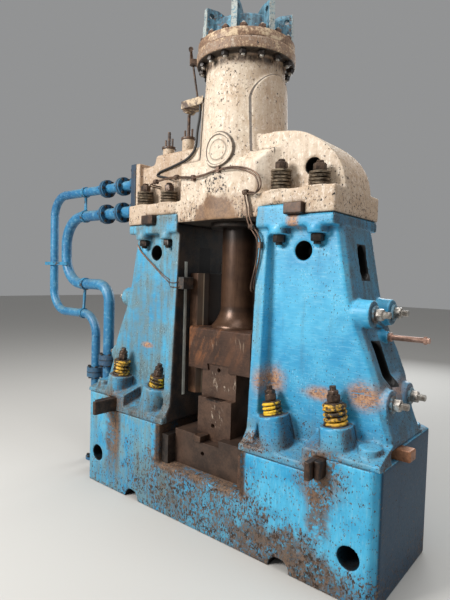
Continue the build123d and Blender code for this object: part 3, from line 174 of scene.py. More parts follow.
def around(count, radius):
    # the angle and the place of each bolt on a circle
    angles = [(i + 0.5) * 2 * math.pi / count for i in range(count)]
    return [(angle, radius * math.cos(angle), radius * math.sin(angle)) for angle in angles]


def flipped(piece):
    # the same piece on the machine's other side
    points, tris = piece
    return points * (-1, 1, 1), tris[:, ::-1]


def model(name, pieces, finish, sharp=38, replaced=None):
    # joins the pieces in one object, creased past the sharp angle, that stands with the frame
    starts = np.cumsum([0] + [len(points) for points, tris in pieces])
    points = np.concatenate([points for points, tris in pieces])
    tris = np.concatenate([tris + start for (_, tris), start in zip(pieces, starts)])
    mesh = bpy.data.meshes.new(name)
    mesh.vertices.add(len(points))
    mesh.vertices.foreach_set("co", points.astype(np.float32).ravel())
    mesh.loops.add(3 * len(tris))
    mesh.loops.foreach_set("vertex_index", tris.astype(np.int32).ravel())
    mesh.polygons.add(len(tris))
    mesh.polygons.foreach_set("loop_start", np.arange(0, 3 * len(tris), 3, dtype=np.int32))
    mesh.polygons.foreach_set("use_smooth", np.ones(len(tris), dtype=bool))
    mesh.update(calc_edges=True)
    mesh.validate()
    mesh.set_sharp_from_angle(angle=math.radians(sharp))
    made = bpy.data.objects.new(name, mesh)
    bpy.context.scene.collection.objects.link(made)
    mesh.materials.append(finishes[finish])
    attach(made, "frame")
    if replaced:
        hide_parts(replaced)


# Materials

finishes = {}  # each material by its name here, which the frame may hold as well


class Signal:
    # a value in the shader that can be used in sums
    def __init__(self, paint, socket):
        self.paint, self.socket = paint, socket

    def __add__(self, other):
        return self.paint.maths("ADD", self, other)

    def __sub__(self, other):
        return self.paint.maths("SUBTRACT", self, other)

    def __rsub__(self, other):
        return self.paint.maths("SUBTRACT", other, self)

    def __mul__(self, other):
        return self.paint.maths("MULTIPLY", self, other)

    def __truediv__(self, other):
        return self.paint.maths("DIVIDE", self, other)

    def __abs__(self):
        return self.paint.maths("ABSOLUTE", self, 0.0)

    __radd__ = __add__
    __rmul__ = __mul__

    def most(self, other):
        return self.paint.maths("MAXIMUM", self, other)

    def clamped(self):
        return self.paint.maths("ADD", self, 0.0, True)

    def step(self, low, high, top=1.0):
        # a smooth rise from 0 at low to the top at high
        reach = {"Value": self, "From Min": low, "From Max": high, "To Min": 0.0, "To Max": top}
        made = self.paint.node("ShaderNodeMapRange", {"interpolation_type": "SMOOTHSTEP"}, reach)
        return Signal(self.paint, made.outputs["Result"])

    def near(self, middle, half, soft):
        # 1 within half of the middle, falling to 0 over the soft width
        return 1 - abs(self - middle).step(half, half + soft)


def tone(red, green, blue):
    # a screen colour, 0 to 255, as the linear colour that the shader takes
    return (*(((value / 255 + 0.055) / 1.055) ** 2.4 for value in (red, green, blue)), 1)


class Paint:
    # a material whose colour is laid on coat by coat
    def __init__(self, name, roughness, metallic=0.0, specular=0.5):
        finishes[name] = bpy.data.materials.new(name)
        finishes[name].use_nodes = True
        self.tree = finishes[name].node_tree
        self.tree.nodes.clear()
        sockets = {"Roughness": roughness, "Metallic": metallic, "Specular IOR Level": specular}
        self.shader = self.node("ShaderNodeBsdfPrincipled", {}, sockets)
        self.node("ShaderNodeOutputMaterial", {}, {"Surface": self.shader.outputs["BSDF"]})
        self.point = self.node("ShaderNodeTexCoord").outputs["Object"]
        split = self.node("ShaderNodeSeparateXYZ", {}, {"Vector": self.point})
        self.x, self.y, self.z = (Signal(self, split.outputs[axis]) for axis in "XYZ")
        self.geometry = self.node("ShaderNodeNewGeometry")

    def join(self, made, sockets):
        for key, value in sockets.items():
            value = value.socket if isinstance(value, Signal) else value
            if isinstance(value, bpy.types.NodeSocket):
                self.tree.links.new(value, made.inputs[key])
            else:
                made.inputs[key].default_value = value

    def node(self, kind, settings=None, sockets=None):
        made = self.tree.nodes.new(kind)
        for key, value in (settings or {}).items():
            if key == "stops":
                for spare in list(made.color_ramp.elements)[1:]:
                    made.color_ramp.elements.remove(spare)
                made.color_ramp.elements[0].position, made.color_ramp.elements[0].color = value[0]
                for position, colour in value[1:]:
                    made.color_ramp.elements.new(position).color = colour
            else:
                setattr(made, key, value)
        self.join(made, sockets or {})
        return made

    def maths(self, operation, a, b, clamp=False):
        made = self.node("ShaderNodeMath", {"operation": operation, "use_clamp": clamp}, {0: a, 1: b})
        return Signal(self, made.outputs[0])

    def noise(self, scale, detail, rough, stretch=(1, 1, 1), shift=0.0, tilt=0.0):
        # noise on the object's own coordinates, leant over by the tilt about Y, then stretched and moved
        point = self.point
        if tilt:
            point = self.node("ShaderNodeMapping", {}, {"Vector": point, "Rotation": (0, tilt, 0)}).outputs[0]
        if shift or stretch != (1, 1, 1):
            place = {"Vector": point, "Scale": stretch, "Location": (shift, shift * 0.7, shift * 1.3)}
            point = self.node("ShaderNodeMapping", {}, place).outputs[0]
        sockets = {"Vector": point, "Scale": scale, "Detail": detail, "Roughness": rough}
        return Signal(self, self.node("ShaderNodeTexNoise", {}, sockets).outputs[0])

    def away(self, across, upward):
        # how far off a point is that lies so much across and so much up
        return self.maths("SQRT", across * across + upward * upward, 0.0)

    def patch(self, place, reach, ragged, soft=0.5):
        # 1 in an ellipse round a place (x, z), with an edge that the ragged signal breaks up
        distance = self.away((self.x - place[0]) / reach[0], (self.z - place[1]) / reach[1])
        return 1 - (distance + (ragged - 0.5) * 2.4).step(1 - soft, 1 + soft)

    def edges(self):
        # how deep a point lies in a corner, and how far out on an edge: the pointiness is 0.5 on the flat
        pointed = Signal(self, self.geometry.outputs["Pointiness"])
        return 1 - pointed.step(0.43, 0.492), pointed.step(0.515, 0.60)

    def facing(self, axis="Z"):
        # how much a face looks along an axis, from -1 to 1
        split = self.node("ShaderNodeSeparateXYZ", {}, {"Vector": self.geometry.outputs["Normal"]})
        return Signal(self, split.outputs[axis])

    def mix(self, share, a, b):
        return self.node("ShaderNodeMix", {"data_type": "RGBA"}, {0: share, 6: a, 7: b}).outputs[2]

    def lay(self, share, colour):
        # one more coat, which covers by its share
        self.colour = self.mix(share, self.colour, colour)

    def finish(self, roughness, relief, depth, strength):
        bump = self.node("ShaderNodeBump", {}, {"Height": relief, "Distance": depth, "Strength": strength})
        self.join(self.shader, {"Base Color": self.colour, "Roughness": roughness, "Normal": bump.outputs[0]})


rustTones = {  # where on the noise each tone lies, and the tone
    "black": (0.30, tone(30, 22, 19)), "dark": (0.46, tone(62, 44, 36)),
    "brown": (0.60, tone(104, 72, 54)), "orange": (0.76, tone(168, 104, 64)),
}
# tones of grime; the near black one is grease and also painted shade, beside the ram, in the anvil's recess
# and under the flanges
grimeAndShadeTones = {
    "thin": tone(92, 76, 64), "thick": tone(52, 42, 37), "greaseAndShade": tone(22, 18, 16), "oily": tone(60, 46, 37),
}
# near black painted in the bored holes and the slots: painted shade inside them
holeShadeTone = tone(13, 12, 12)
holeSet = {  # place from the middle (x, z) and radius
    "lifting": (1.062, 0.238, 0.060), "floor": (0.645, 0.0, 0.068),
    "column": (0.630, 1.820, 0.055), "cap": (0.650, 2.312, 0.050),
}


def rustOn(paint, fine):
    # rust runs from near black to orange with the noise
    return paint.node("ShaderNodeValToRGB", {"stops": list(rustTones.values())}, {0: fine}).outputs[0]


def bored(paint, x, z, radius):
    # 1 inside a hole that goes in along Y on both sides of the machine
    return 1 - paint.away(abs(paint.x) - x, paint.z - z).step(radius + 0.001, radius + 0.004)


# Blue paint of the anvil, the columns, the pipes and the cover

blueSet = {
    "deep": tone(42, 142, 188), "plain": tone(80, 176, 214), "pale": tone(146, 200, 216),
    "stale": tone(104, 138, 148), "shadow": tone(20, 44, 66), "rubbed": tone(168, 205, 215),
    "brown": tone(78, 61, 50), "clay": tone(122, 98, 80),
    "bloom": tone(184, 142, 110), "bloomDeep": tone(138, 98, 74),
}
blueKinds = {  # brush stretch, fleck and blot scales with their cuts, what shows where the paint has chipped
    "anvil": {"brush": (3.0, 3.0, 0.5), "fleck": (96, 0.652), "blot": (30, 0.658), "cast": True,
              "gloss": 0.16, "under": (tone(54, 46, 40), tone(116, 103, 92))},
    "column": {"brush": (0.5, 0.5, 5.0), "fleck": (118, 0.655), "blot": (22, 0.685), "cast": True,
               "gloss": 0.4, "scuff": 0.55},
    "pipe": {"brush": (1, 1, 1), "fleck": (66, 0.71), "blot": (21, 0.72), "cast": False,
             "gloss": 0.5, "deep": tone(20, 88, 132), "plain": tone(42, 124, 168)},
}


def bluePaint(name, kind, zone):
    # brushed oil paint on iron: strokes one way, dark flecks, chips to the iron, films of grime and painted
    # shade by zone
    kind = blueKinds[kind]
    fleckScale, fleckCut = kind["fleck"]
    blotScale, blotCut = kind["blot"]
    deep, plain = (kind.get(key, blueSet[key]) for key in ("deep", "plain"))
    paint = Paint(name, 0.4, specular=kind["gloss"])
    broad = paint.noise(1.6, 3, 0.5)
    middle = paint.noise(8, 6, 0.62, shift=3.1)
    fine = paint.noise(62, 7, 0.68, shift=1.3)
    strokes = paint.noise(36, 5, 0.62, stretch=kind["brush"], shift=6.4)
    drip = paint.noise(9, 6, 0.64, stretch=(3.0, 3.0, 0.22), shift=5.2)
    place = zone(paint, middle, fine)

    paint.colour = paint.mix((broad * 0.6 + middle * 0.4).step(0.38, 0.62), deep, plain)
    paint.lay(strokes.step(0.48, 0.74, 0.40), blueSet["pale"])
    paint.lay((1 - strokes).step(0.52, 0.78, 0.34), deep)
    paint.lay(place["stale"] * (middle * 0.6 + drip * 0.6).step(0.44, 0.72), blueSet["stale"])
    film = drip.step(0.54, 0.80, 0.26) + paint.noise(3.3, 8, 0.66, shift=7.7).step(0.56, 0.80, 0.26)
    film = (film + place["grime"] * (middle * 0.7 + drip * 0.3 + fine * 0.4).step(0.42, 0.88)).clamped()
    paint.lay(film, paint.mix(fine.step(0.4, 0.62), grimeAndShadeTones["thick"], grimeAndShadeTones["thin"]))
    paint.lay(place["shadow"], blueSet["shadow"])
    if kind["cast"]:
        cavity, corners = paint.edges()
        paint.lay(cavity * 0.7, grimeAndShadeTones["thick"])
        paint.lay(corners * (strokes * 0.5 + fine * 0.5).step(0.47, 0.6, 0.75), blueSet["rubbed"])
    if "bloom" in place:
        shade = paint.mix(fine.step(0.40, 0.58), blueSet["bloomDeep"], blueSet["bloom"])
        paint.lay(place["bloom"] * (strokes * 0.5 + fine * 0.5).step(0.38, 0.49), shade)
    if "rust" in place:
        spread = place["rust"] * (middle * 0.35 + strokes * 0.35 + fine * 0.4).step(0.46, 0.58)
        paint.lay(spread, rustOn(paint, fine * 0.6 + middle * 0.4 + 0.03))
    if "brown" in place:
        shade = paint.mix((fine * 0.6 + drip * 0.4).step(0.42, 0.58), blueSet["brown"], blueSet["clay"])
        paint.lay(place["brown"] * (middle * 0.5 + fine * 0.5).step(0.40, 0.52), shade)

    flecks = paint.noise(fleckScale, 3, 0.6, stretch=(1.0, 1.0, 0.66), shift=8.1) + place["chips"] * 0.135
    blots = paint.noise(blotScale, 9, 0.74, stretch=(1.2, 1.2, 0.8), shift=9.4) + (fine - 0.5) * 0.2
    blots = blots + place["chips"] * 0.10
    if kind["cast"]:
        blots = blots + corners * 0.10
    if "scuff" in kind:
        paint.lay((1 - flecks).step(0.60, 0.66, kind["scuff"]) * middle.step(0.46, 0.60), blueSet["rubbed"])
        flecks = flecks + (middle - 0.5) * 0.12
    chips = flecks.step(fleckCut, fleckCut + 0.02).most(blots.step(blotCut, blotCut + 0.015))
    iron = rustOn(paint, paint.noise(34, 8, 0.7, shift=2.2) - 0.06)
    if "under" in kind:
        under = paint.mix(paint.noise(26, 7, 0.7, shift=2.9).step(0.40, 0.60), *kind["under"])
        iron = paint.mix(0.76, iron, under)
    paint.lay(chips, iron)
    # grease and painted shade as the zone gives them, then painted shade in the holes
    if "greaseAndShade" in place:
        oily = (fine * 0.4 + middle * 0.7).step(0.46, 0.66)
        paint.lay(place["greaseAndShade"], paint.mix(oily, grimeAndShadeTones["greaseAndShade"], grimeAndShadeTones["oily"]))
        paint.lay(place["holeShade"], holeShadeTone)
    if kind["cast"]:
        lump = paint.noise(40, 5, 0.6, shift=4.4) * 0.7 + paint.noise(150, 3, 0.6) * 0.2
    else:
        lump = fine * 0.3
    rough = 0.30 + 0.22 * fine + 0.28 * film + 0.24 * chips
    paint.finish(rough, lump + strokes * 0.25 - chips * 0.5, 0.0024, 0.55)


anvilPatches = {  # places on the front (x, z), half sizes, and how soft the edge is
    "sill": ((-0.02, 0.25), (0.58, 0.24), 0.5),
    "toe": ((0.66, 0.08), (0.40, 0.15), 0.35),
    "edge": ((1.0, 0.04), (0.5, 0.12), 0.6),
    "key": ((0.885, 0.60), (0.12, 0.13), 0.6),
}


def anvilZone(paint, middle, fine):
    # chipped to grey iron under the sill and at the toe, brown round the right key and down from the left
    # one; painted shade on both ends, on the recess's walls and in the holes
    x, y, z = paint.x, paint.y, paint.z
    front = abs(y).step(0.2, 0.38)
    low = 1 - z.step(0.0, 0.30)
    patches = (paint.patch(at, reach, middle, soft) for at, reach, soft in anvilPatches.values())
    sill, toe, edge, key = (patch * front for patch in patches)
    under = (x + (middle - 0.5) * 0.14).near(0.885, 0.035, 0.06) * z.near(0.43, 0.10, 0.10) * front
    run = (x + (middle - 0.5) * 0.12).near(-0.865, 0.04, 0.07) * z.step(0.02, 0.45) * front
    top = paint.facing().step(0.6, 0.9)
    recess = x.near(0, 0.375, 0.03) * z.step(0.335, 0.36)
    lip = x.near(0, 0.40, 0.05) * z.near(0.345, 0.012, 0.05) * front
    end = abs(paint.facing("X")).step(0.6, 0.9) * abs(x).step(1.0, 1.08)
    floorHoles = (0.075 - z).step(0, 0.005) * bored(paint, *holeSet["floor"])
    grime = sill * 0.62 + toe * 0.7 + run * 0.9 + low * 0.25 + top * 0.9 + recess * 1.2 + key * 0.3
    return {
        "shadow": end * 0.96,
        "stale": (x.near(-0.66, 0.34, 0.3) * 1.1 + low * 0.2).clamped(),
        "grime": grime.clamped(),
        "chips": (sill * 0.86 + toe * 1.2 + edge * 0.62 + low * 0.45 + key * 0.5 + 0.18).clamped(),
        "rust": (run * 0.5 + toe * 0.3 + recess * 0.8).clamped(),
        "brown": (lip * 1.1 + key * 1.0 + under * 0.9 + toe * 0.8 + run * 0.9 + recess * 0.8).clamped(),
        # the recess's walls: grease and painted shade
        "greaseAndShade": recess * (1 - top) * 0.7,
        "holeShade": bored(paint, *holeSet["lifting"]) * 0.93 + floorHoles,
    }


columnPatches = {  # places on the columns' faces (x, z) with half sizes
    "bloom": [((0.455, 1.035), (0.075, 0.075)), ((0.775, 1.005), (0.10, 0.035)),
              ((1.040, 1.035), (0.085, 0.065)), ((-0.70, 1.12), (0.05, 0.018))],
    "head": ((0.60, 1.99), (0.035, 0.06)), "key": ((0.885, 0.68), (0.13, 0.09)),
    "leftKey": ((-0.885, 0.68), (0.12, 0.08)), "corner": ((0.42, 0.67), (0.12, 0.05)),
}
slotSet = {"half": 0.0575, "upper": (1.758, 0.104), "lower": (1.184, 0.122), "slope": 0.248, "face": 1.385}


def columnZone(paint, middle, fine):
    # worn round the feet, black with grease and painted shade beside the ram, duller and dirtier on the outer
    # sides with painted shade there, painted shade in the holes and slots
    y, z = paint.y, paint.z
    side = abs(paint.x)
    feet = 1 - z.step(0.71, 0.92)
    head = z.step(1.93, 2.0)
    inner = (1 - side.step(0.337, 0.348)) * y.near(0, 0.350, 0.02)
    outer = abs(paint.facing("X")).step(0.5, 0.9) * side.step(0.45, 0.50)
    left = 1 - paint.x.step(-0.1, 0.1)
    flange = side.near(0.355, 0.03, 0.03) * (1 - left)
    bloom = paint.patch(*columnPatches["head"], middle)
    for at, reach in columnPatches["bloom"]:
        bloom = bloom + paint.patch(at, reach, middle * 0.5 + fine * 0.5, 0.8) * 1.1
    front = abs(y).step(0.2, 0.3)
    key, leftKey = (paint.patch(*columnPatches[name], middle) * front for name in ("key", "leftKey"))
    corner = paint.patch(*columnPatches["corner"], middle)
    # the boss tops under the springs: oil and painted shade
    seatOilAndShade = paint.facing().step(0.8, 0.95) * z.near(0.858, 0.03, 0.01)
    slots = z.near(*slotSet["upper"], 0.004) + z.near(*slotSet["lower"], 0.004)
    slots = slots * y.near(0, slotSet["half"], 0.004)
    slots = slots * (1 - (side + z * slotSet["slope"]).step(slotSet["face"], slotSet["face"] + 0.012))
    return {
        "shadow": outer * 0.52,
        "stale": (feet * 0.35 + left * 1.0 + outer * 0.6 + flange * 0.6).clamped(),
        "grime": (feet * 0.35 + outer * 0.55 + head * 0.15 + left * 0.34 + seatOilAndShade * 1.2).clamped(),
        "chips": (feet * 0.35 + head * 0.2 + outer * 0.3 + corner * 0.5 + 0.06).clamped(),
        "bloom": bloom,
        "brown": (key * 1.1 + leftKey * 0.9 + corner * 0.9 + seatOilAndShade * 0.5).clamped(),
        "greaseAndShade": inner * 0.97,
        "holeShade": bored(paint, *holeSet["column"]) + slots,
    }


def pipeZone(paint, middle, fine):
    # duller on top, painted shade on the flanges and collars, grimy near the ground and on the collars
    x, z = paint.x, paint.z
    low = 1 - z.step(0.45, 0.80)
    rings = x.near(-1.155, 0.022, 0.002) + x.near(-1.373, 0.022, 0.002) + x.step(-0.990, -0.986)
    rings = rings * z.step(2.0, 2.05)
    collars = z.near(0.784, 0.043, 0.002) * x.near(-1.505, 0.1, 0.01)
    collars = collars + z.near(0.915, 0.043, 0.002) * x.near(-1.322, 0.1, 0.01)
    return {"shadow": rings * 0.55 + collars * 0.35, "stale": paint.facing().step(0.2, 0.8) * 0.8,
            "grime": low * 0.6 + collars * 0.5 + 0.12, "chips": low * 0.3}


crownSet = {"dark": tone(88, 66, 52), "tan": tone(146, 115, 90), "pale": tone(206, 184, 152)}
coverSet = {"drum": (tone(46, 74, 90), tone(98, 140, 158)), "rims": tone(172, 174, 166),
            "flange": 3.209, "ribs": 0.308}


def crownIron(paint, middle, fine):
    # tan iron that shows through what is left of the cream paint on the flanges
    iron = paint.mix((middle * 0.5 + fine * 0.5).step(0.38, 0.58), crownSet["dark"], crownSet["tan"])
    return paint.mix((middle * 0.6 + fine * 0.5).step(0.56, 0.66, 0.85), iron, crownSet["pale"])


def coverPaint(name):
    # the flange is bare tan iron, the drum and ribs carry worn blue paint, rubbed pale on the ribs' rims
    paint = Paint(name, 0.5)
    middle = paint.noise(11, 6, 0.62, shift=3.1)
    fine = paint.noise(70, 7, 0.68, shift=1.3)
    drip = paint.noise(16, 5, 0.62, stretch=(2.4, 2.4, 0.3), shift=5.5)
    paint.colour = paint.mix((middle * 0.5 + drip * 0.5).step(0.40, 0.60), *coverSet["drum"])
    paint.lay(fine.step(0.54, 0.66, 0.6), blueSet["plain"])
    paint.lay(paint.noise(30, 8, 0.72, shift=2.2).step(0.56, 0.60, 0.9), rustOn(paint, fine))
    ends = paint.away(paint.x, paint.y).step(coverSet["ribs"], coverSet["ribs"] + 0.005)
    rims = ends.most(paint.facing().step(0.7, 0.95))
    paint.lay(rims * fine.step(0.36, 0.54, 0.85), coverSet["rims"])
    flange = 1 - paint.z.step(coverSet["flange"], coverSet["flange"] + 0.004)
    paint.lay(flange, crownIron(paint, middle, fine))
    paint.finish(0.40 + 0.25 * fine, fine * 0.6 + middle * 0.5, 0.0022, 0.5)


bluePaint("blue_anvil", "anvil", anvilZone)
bluePaint("blue_column", "column", columnZone)
bluePaint("blue_pipe", "pipe", pipeZone)
coverPaint("cover_paint")


# Cream paint of the cylinder block and what stands on it

creamSet = {
    "warm": tone(184, 161, 136), "plain": tone(209, 194, 174), "bright": tone(232, 220, 204),
    "stainAndShade": tone(148, 117, 90), "brown": tone(104, 78, 58), "clay": tone(140, 110, 82),
    "speck": tone(34, 27, 24), "seam": tone(50, 40, 33),
}
creamPatches = {"arch": ((0.0, 1.945), (0.20, 0.235)), "skirt": ((0.03, 1.96), (0.44, 0.17)),
                "mottled": ((0.0, 2.25), (0.11, 0.09))}
padSet = {"half": 0.205, "low": 2.34, "straight": 2.790, "peak": 2.972, "proud": 0.0152, "middle": 2.66}
rise = padSet["peak"] - padSet["straight"]
padSet["radius"] = (padSet["half"] ** 2 + rise ** 2) / (2 * rise)
badgeAt = {"x": 0.017, "z": 2.471}


def creamSeams(paint):
    # dirt in the lines round the badge's rims and the arched pads, whose outline is two sides and an arc
    distance = paint.away(paint.x - badgeAt["x"], paint.z - badgeAt["z"])
    rim = distance.near(0.0955, 0.0014, 0.0030) + distance.near(0.1145, 0.003, 0.004)
    rim = rim + distance.near(0.0648, 0.003, 0.003) * 0.6
    rim = rim * (0 - paint.y).step(0.15, 0.2) * (1 - paint.z.step(2.60, 2.61))
    arc = abs(paint.away(paint.y, paint.z - (padSet["peak"] - padSet["radius"])) - padSet["radius"])
    side = abs(abs(paint.y) - padSet["half"])
    high = paint.z.step(padSet["straight"] - 0.001, padSet["straight"] + 0.001)
    line = 1 - (arc * high + side * (1 - high)).step(0.0014, 0.0036)
    return rim, line * abs(paint.x).step(0.14, 0.16) * paint.z.step(2.40, 2.43)


def creamPaint(name, cast):
    # flaking cream paint over a rough casting: specks where the iron shows, brown stains that run down;
    # painted shade on the ends, under the flanges and in the hole
    paint = Paint(name, 0.5)
    x, y, z = paint.x, paint.y, paint.z
    broad = paint.noise(2.0, 5, 0.6)
    middle = paint.noise(10, 7, 0.65, shift=2.1)
    fine = paint.noise(75, 7, 0.7, shift=6.3)
    grain = paint.noise(34, 7, 0.70, stretch=(1.5, 1.5, 0.8), shift=4.7)
    drip = paint.noise(8, 6, 0.64, stretch=(2.8, 2.8, 0.2), shift=3.9)
    front = abs(y).step(0.15, 0.27)
    cap = 1 - z.step(2.27, 2.31)
    ledge = 1 - z.step(2.06, 2.20)
    crown = z.step(3.050, 3.078)
    # under the crown flange: grime and the flange's painted shadow
    neckShadeAndGrime = z.near(3.062, 0.02, 0.045) * (1 - crown)
    arch = paint.patch(*creamPatches["arch"], middle * 0.24 + 0.38, 0.10) * front
    skirt, mottled = (paint.patch(*creamPatches[place], middle) * front for place in ("skirt", "mottled"))
    # the ends that look along X are darker: painted shade, with dull stains on the chest and the cap's left
    # side
    ends = abs(paint.facing("X")).step(0.55, 0.95)
    chest = 1 - x.step(-0.42, -0.30)
    dullAndShade = (ends * 0.5 + chest * (1 - cap) * 0.5 + x.near(-0.66, 0.22, 0.12) * cap * 0.42).clamped()
    hump = x.near(0.60, 0.24, 0.10) * z.step(2.19, 2.26) * front

    cloudy = (broad * 0.5 + middle * 0.5).step(0.40, 0.60)
    paint.colour = paint.mix(cloudy, creamSet["warm"], creamSet["plain"])
    paint.lay(grain.step(0.50, 0.60, 0.85), creamSet["bright"])
    paint.lay((fine * 0.5 + grain * 0.5).step(0.53, 0.60, 0.40), creamSet["stainAndShade"])
    paint.lay(dullAndShade * 0.75, creamSet["stainAndShade"])
    paint.lay(hump * 0.55, creamSet["bright"])
    stainAndShade = drip.step(0.48, 0.74, 0.60) + middle.step(0.50, 0.72, 0.42)
    stainAndShade = (stainAndShade + ledge * 0.25 + neckShadeAndGrime * 0.9 + dullAndShade * 0.3).clamped()
    paint.lay(stainAndShade * (fine * 0.5 + grain * 0.5).step(0.36, 0.60), creamSet["stainAndShade"])
    paint.lay(neckShadeAndGrime * (drip + fine * 0.3).step(0.50, 0.74, 0.9), grimeAndShadeTones["thick"])
    shade = paint.mix((fine * 0.5 + middle * 0.5).step(0.40, 0.60), creamSet["brown"], creamSet["clay"])
    paint.lay(arch + skirt * (grain * 0.7 + fine * 0.3).step(0.455, 0.505, 0.85), shade)

    clusters = paint.noise(5, 4, 0.6, shift=1.7).step(0.40, 0.62, 0.05) + x.step(0.3, 0.8) * cap * 0.02
    flecks = paint.noise(62, 4, 0.66, stretch=(1.0, 1.0, 0.85), shift=8.8) + clusters + ledge * 0.02
    flecks = flecks + mottled * 0.065 + skirt * 0.05 - arch * 0.15
    blots = paint.noise(24, 9, 0.75, stretch=(1.1, 1.1, 0.8), shift=5.5) + (fine - 0.5) * 0.2 + neckShadeAndGrime * 0.05
    if cast:
        cavity, corners = paint.edges()
        paint.lay(cavity * 0.85, creamSet["brown"])
        blots = blots + corners * 0.055
    specks = flecks.step(0.648, 0.666).most(blots.step(0.66, 0.675))
    paint.lay(crown * (middle * 0.6 + fine * 0.4).step(0.34, 0.50, 0.97), crownIron(paint, middle, fine))
    paint.lay(specks, paint.mix(middle.step(0.45, 0.6), creamSet["speck"], rustTones["dark"][1]))
    rim, line = creamSeams(paint)
    paint.lay(line * 0.9 + rim * 0.8, creamSet["seam"])
    # painted shade: near black on the faces that look down under the crown flange and the cap ledge
    under = (0 - paint.facing()).step(0.5, 0.9) * (z.step(3.0, 3.04) + 1 - z.step(2.05, 2.09))
    paint.lay(under * 0.92, grimeAndShadeTones["greaseAndShade"])
    # painted shade inside the cap's hole on the right
    paint.lay(bored(paint, *holeSet["cap"]) * x.step(0.0, 0.1), holeShadeTone)
    relief = paint.noise(34, 5, 0.6, shift=1.4) * 0.8 + paint.noise(140, 3, 0.6) * 0.3 - specks * 0.5
    paint.finish(0.40 + 0.3 * fine + 0.12 * stainAndShade, relief, 0.0032, 0.65)


def glandPaint(name, seat):
    # cream body up to the flange's seat, brown steel above it
    paint = Paint(name, 0.48)
    fine = paint.noise(70, 6, 0.68)
    middle = paint.noise(18, 5, 0.6, shift=2.4)
    both = middle * 0.5 + fine * 0.5
    paint.colour = paint.mix(both.step(0.42, 0.60), tone(50, 38, 32), tone(104, 79, 61))
    body = (1 - paint.z.step(seat - 0.003, seat)) * (1 - fine.step(0.56, 0.64, 0.9))
    paint.lay(body, paint.mix(both.step(0.40, 0.60), creamSet["warm"], creamSet["plain"]))
    paint.finish(0.36 + 0.28 * fine, fine, 0.001, 0.4)


creamPaint("cream_cap", cast=True)
creamPaint("cream_fitting", cast=False)
glandPaint("throttle_paint", 2.609)
glandPaint("valve_paint", 2.647)


# Bare steel, and small painted pieces

def ramZone(paint, broad, fine):
    # rusty smears that lean on the left half, darker bands between them, pale scrapes in the upper half
    smear = paint.noise(6.5, 7, 0.64, stretch=(1.7, 1.0, 0.42), shift=7.3, tilt=-0.42)
    scrape = paint.noise(52, 3, 0.6, stretch=(1.3, 1.0, 0.16), shift=2.2, tilt=0.16)
    left = (1 - paint.x.step(-0.06, 0.10, 0.75)) * paint.z.step(1.00, 1.12, 0.9)
    return [((1 - smear).step(0.50, 0.66, 0.55) * left, tone(50, 36, 29)),
            ((smear + (fine - 0.5) * 0.25).step(0.44, 0.62, 0.75) * left, tone(144, 92, 57)),
            (scrape.step(0.60, 0.68, 0.5) * paint.z.near(1.235, 0.035, 0.05), tone(156, 134, 114))]


dieMarks = {  # places on the front faces (x, z) with half sizes
    "upper": ((0.045, 0.938), (0.125, 0.058)), "lower": ((0.01, 0.727), (0.065, 0.075)),
    "gap": ((-0.012, 0.822), (0.060, 0.009)),
}


def dieZone(paint, broad, fine):
    # pale scuffs on the front faces and scale broken away where the dies meet
    front = (0 - paint.y).step(0.12, 0.16)
    scuff = paint.noise(44, 5, 0.64, stretch=(1.4, 1, 0.55), shift=4.1, tilt=0.3)
    worn = paint.patch(*dieMarks["upper"], broad) + paint.patch(*dieMarks["lower"], broad)
    gap = paint.patch(*dieMarks["gap"], fine, 0.3)
    return [(scuff.step(0.57, 0.66, 0.6) * worn.clamped() * front, tone(196, 180, 162)),
            (gap * front * paint.noise(48, 3, 0.5, shift=1.9).step(0.44, 0.5), tone(18, 14, 13))]


def guideZone(paint, broad, fine):
    # the front is dry and brown, the slope greyer with a pale rubbed line, the wearing nose black with grease
    side = abs(paint.x)
    return [(broad.step(0.50, 0.64, 0.6), tone(132, 96, 70)),
            (side.near(0.248, 0.010, 0.006) * 0.65, tone(70, 60, 50)),
            ((1 - side.step(0.229, 0.236)) * 0.9, tone(26, 21, 18)),
            (side.near(0.2335, 0.0012, 0.002) * 0.6, tone(150, 138, 120))]


def rodZone(paint, broad, fine):
    # black with oil from the gland over the top, a dull ring above the foot's flare
    return [((paint.z + (broad - 0.5) * 0.1).step(1.84, 1.93) * 0.85, tone(20, 16, 14)),
            (paint.z.near(1.432, 0.008, 0.022) * 0.5, tone(40, 30, 25))]


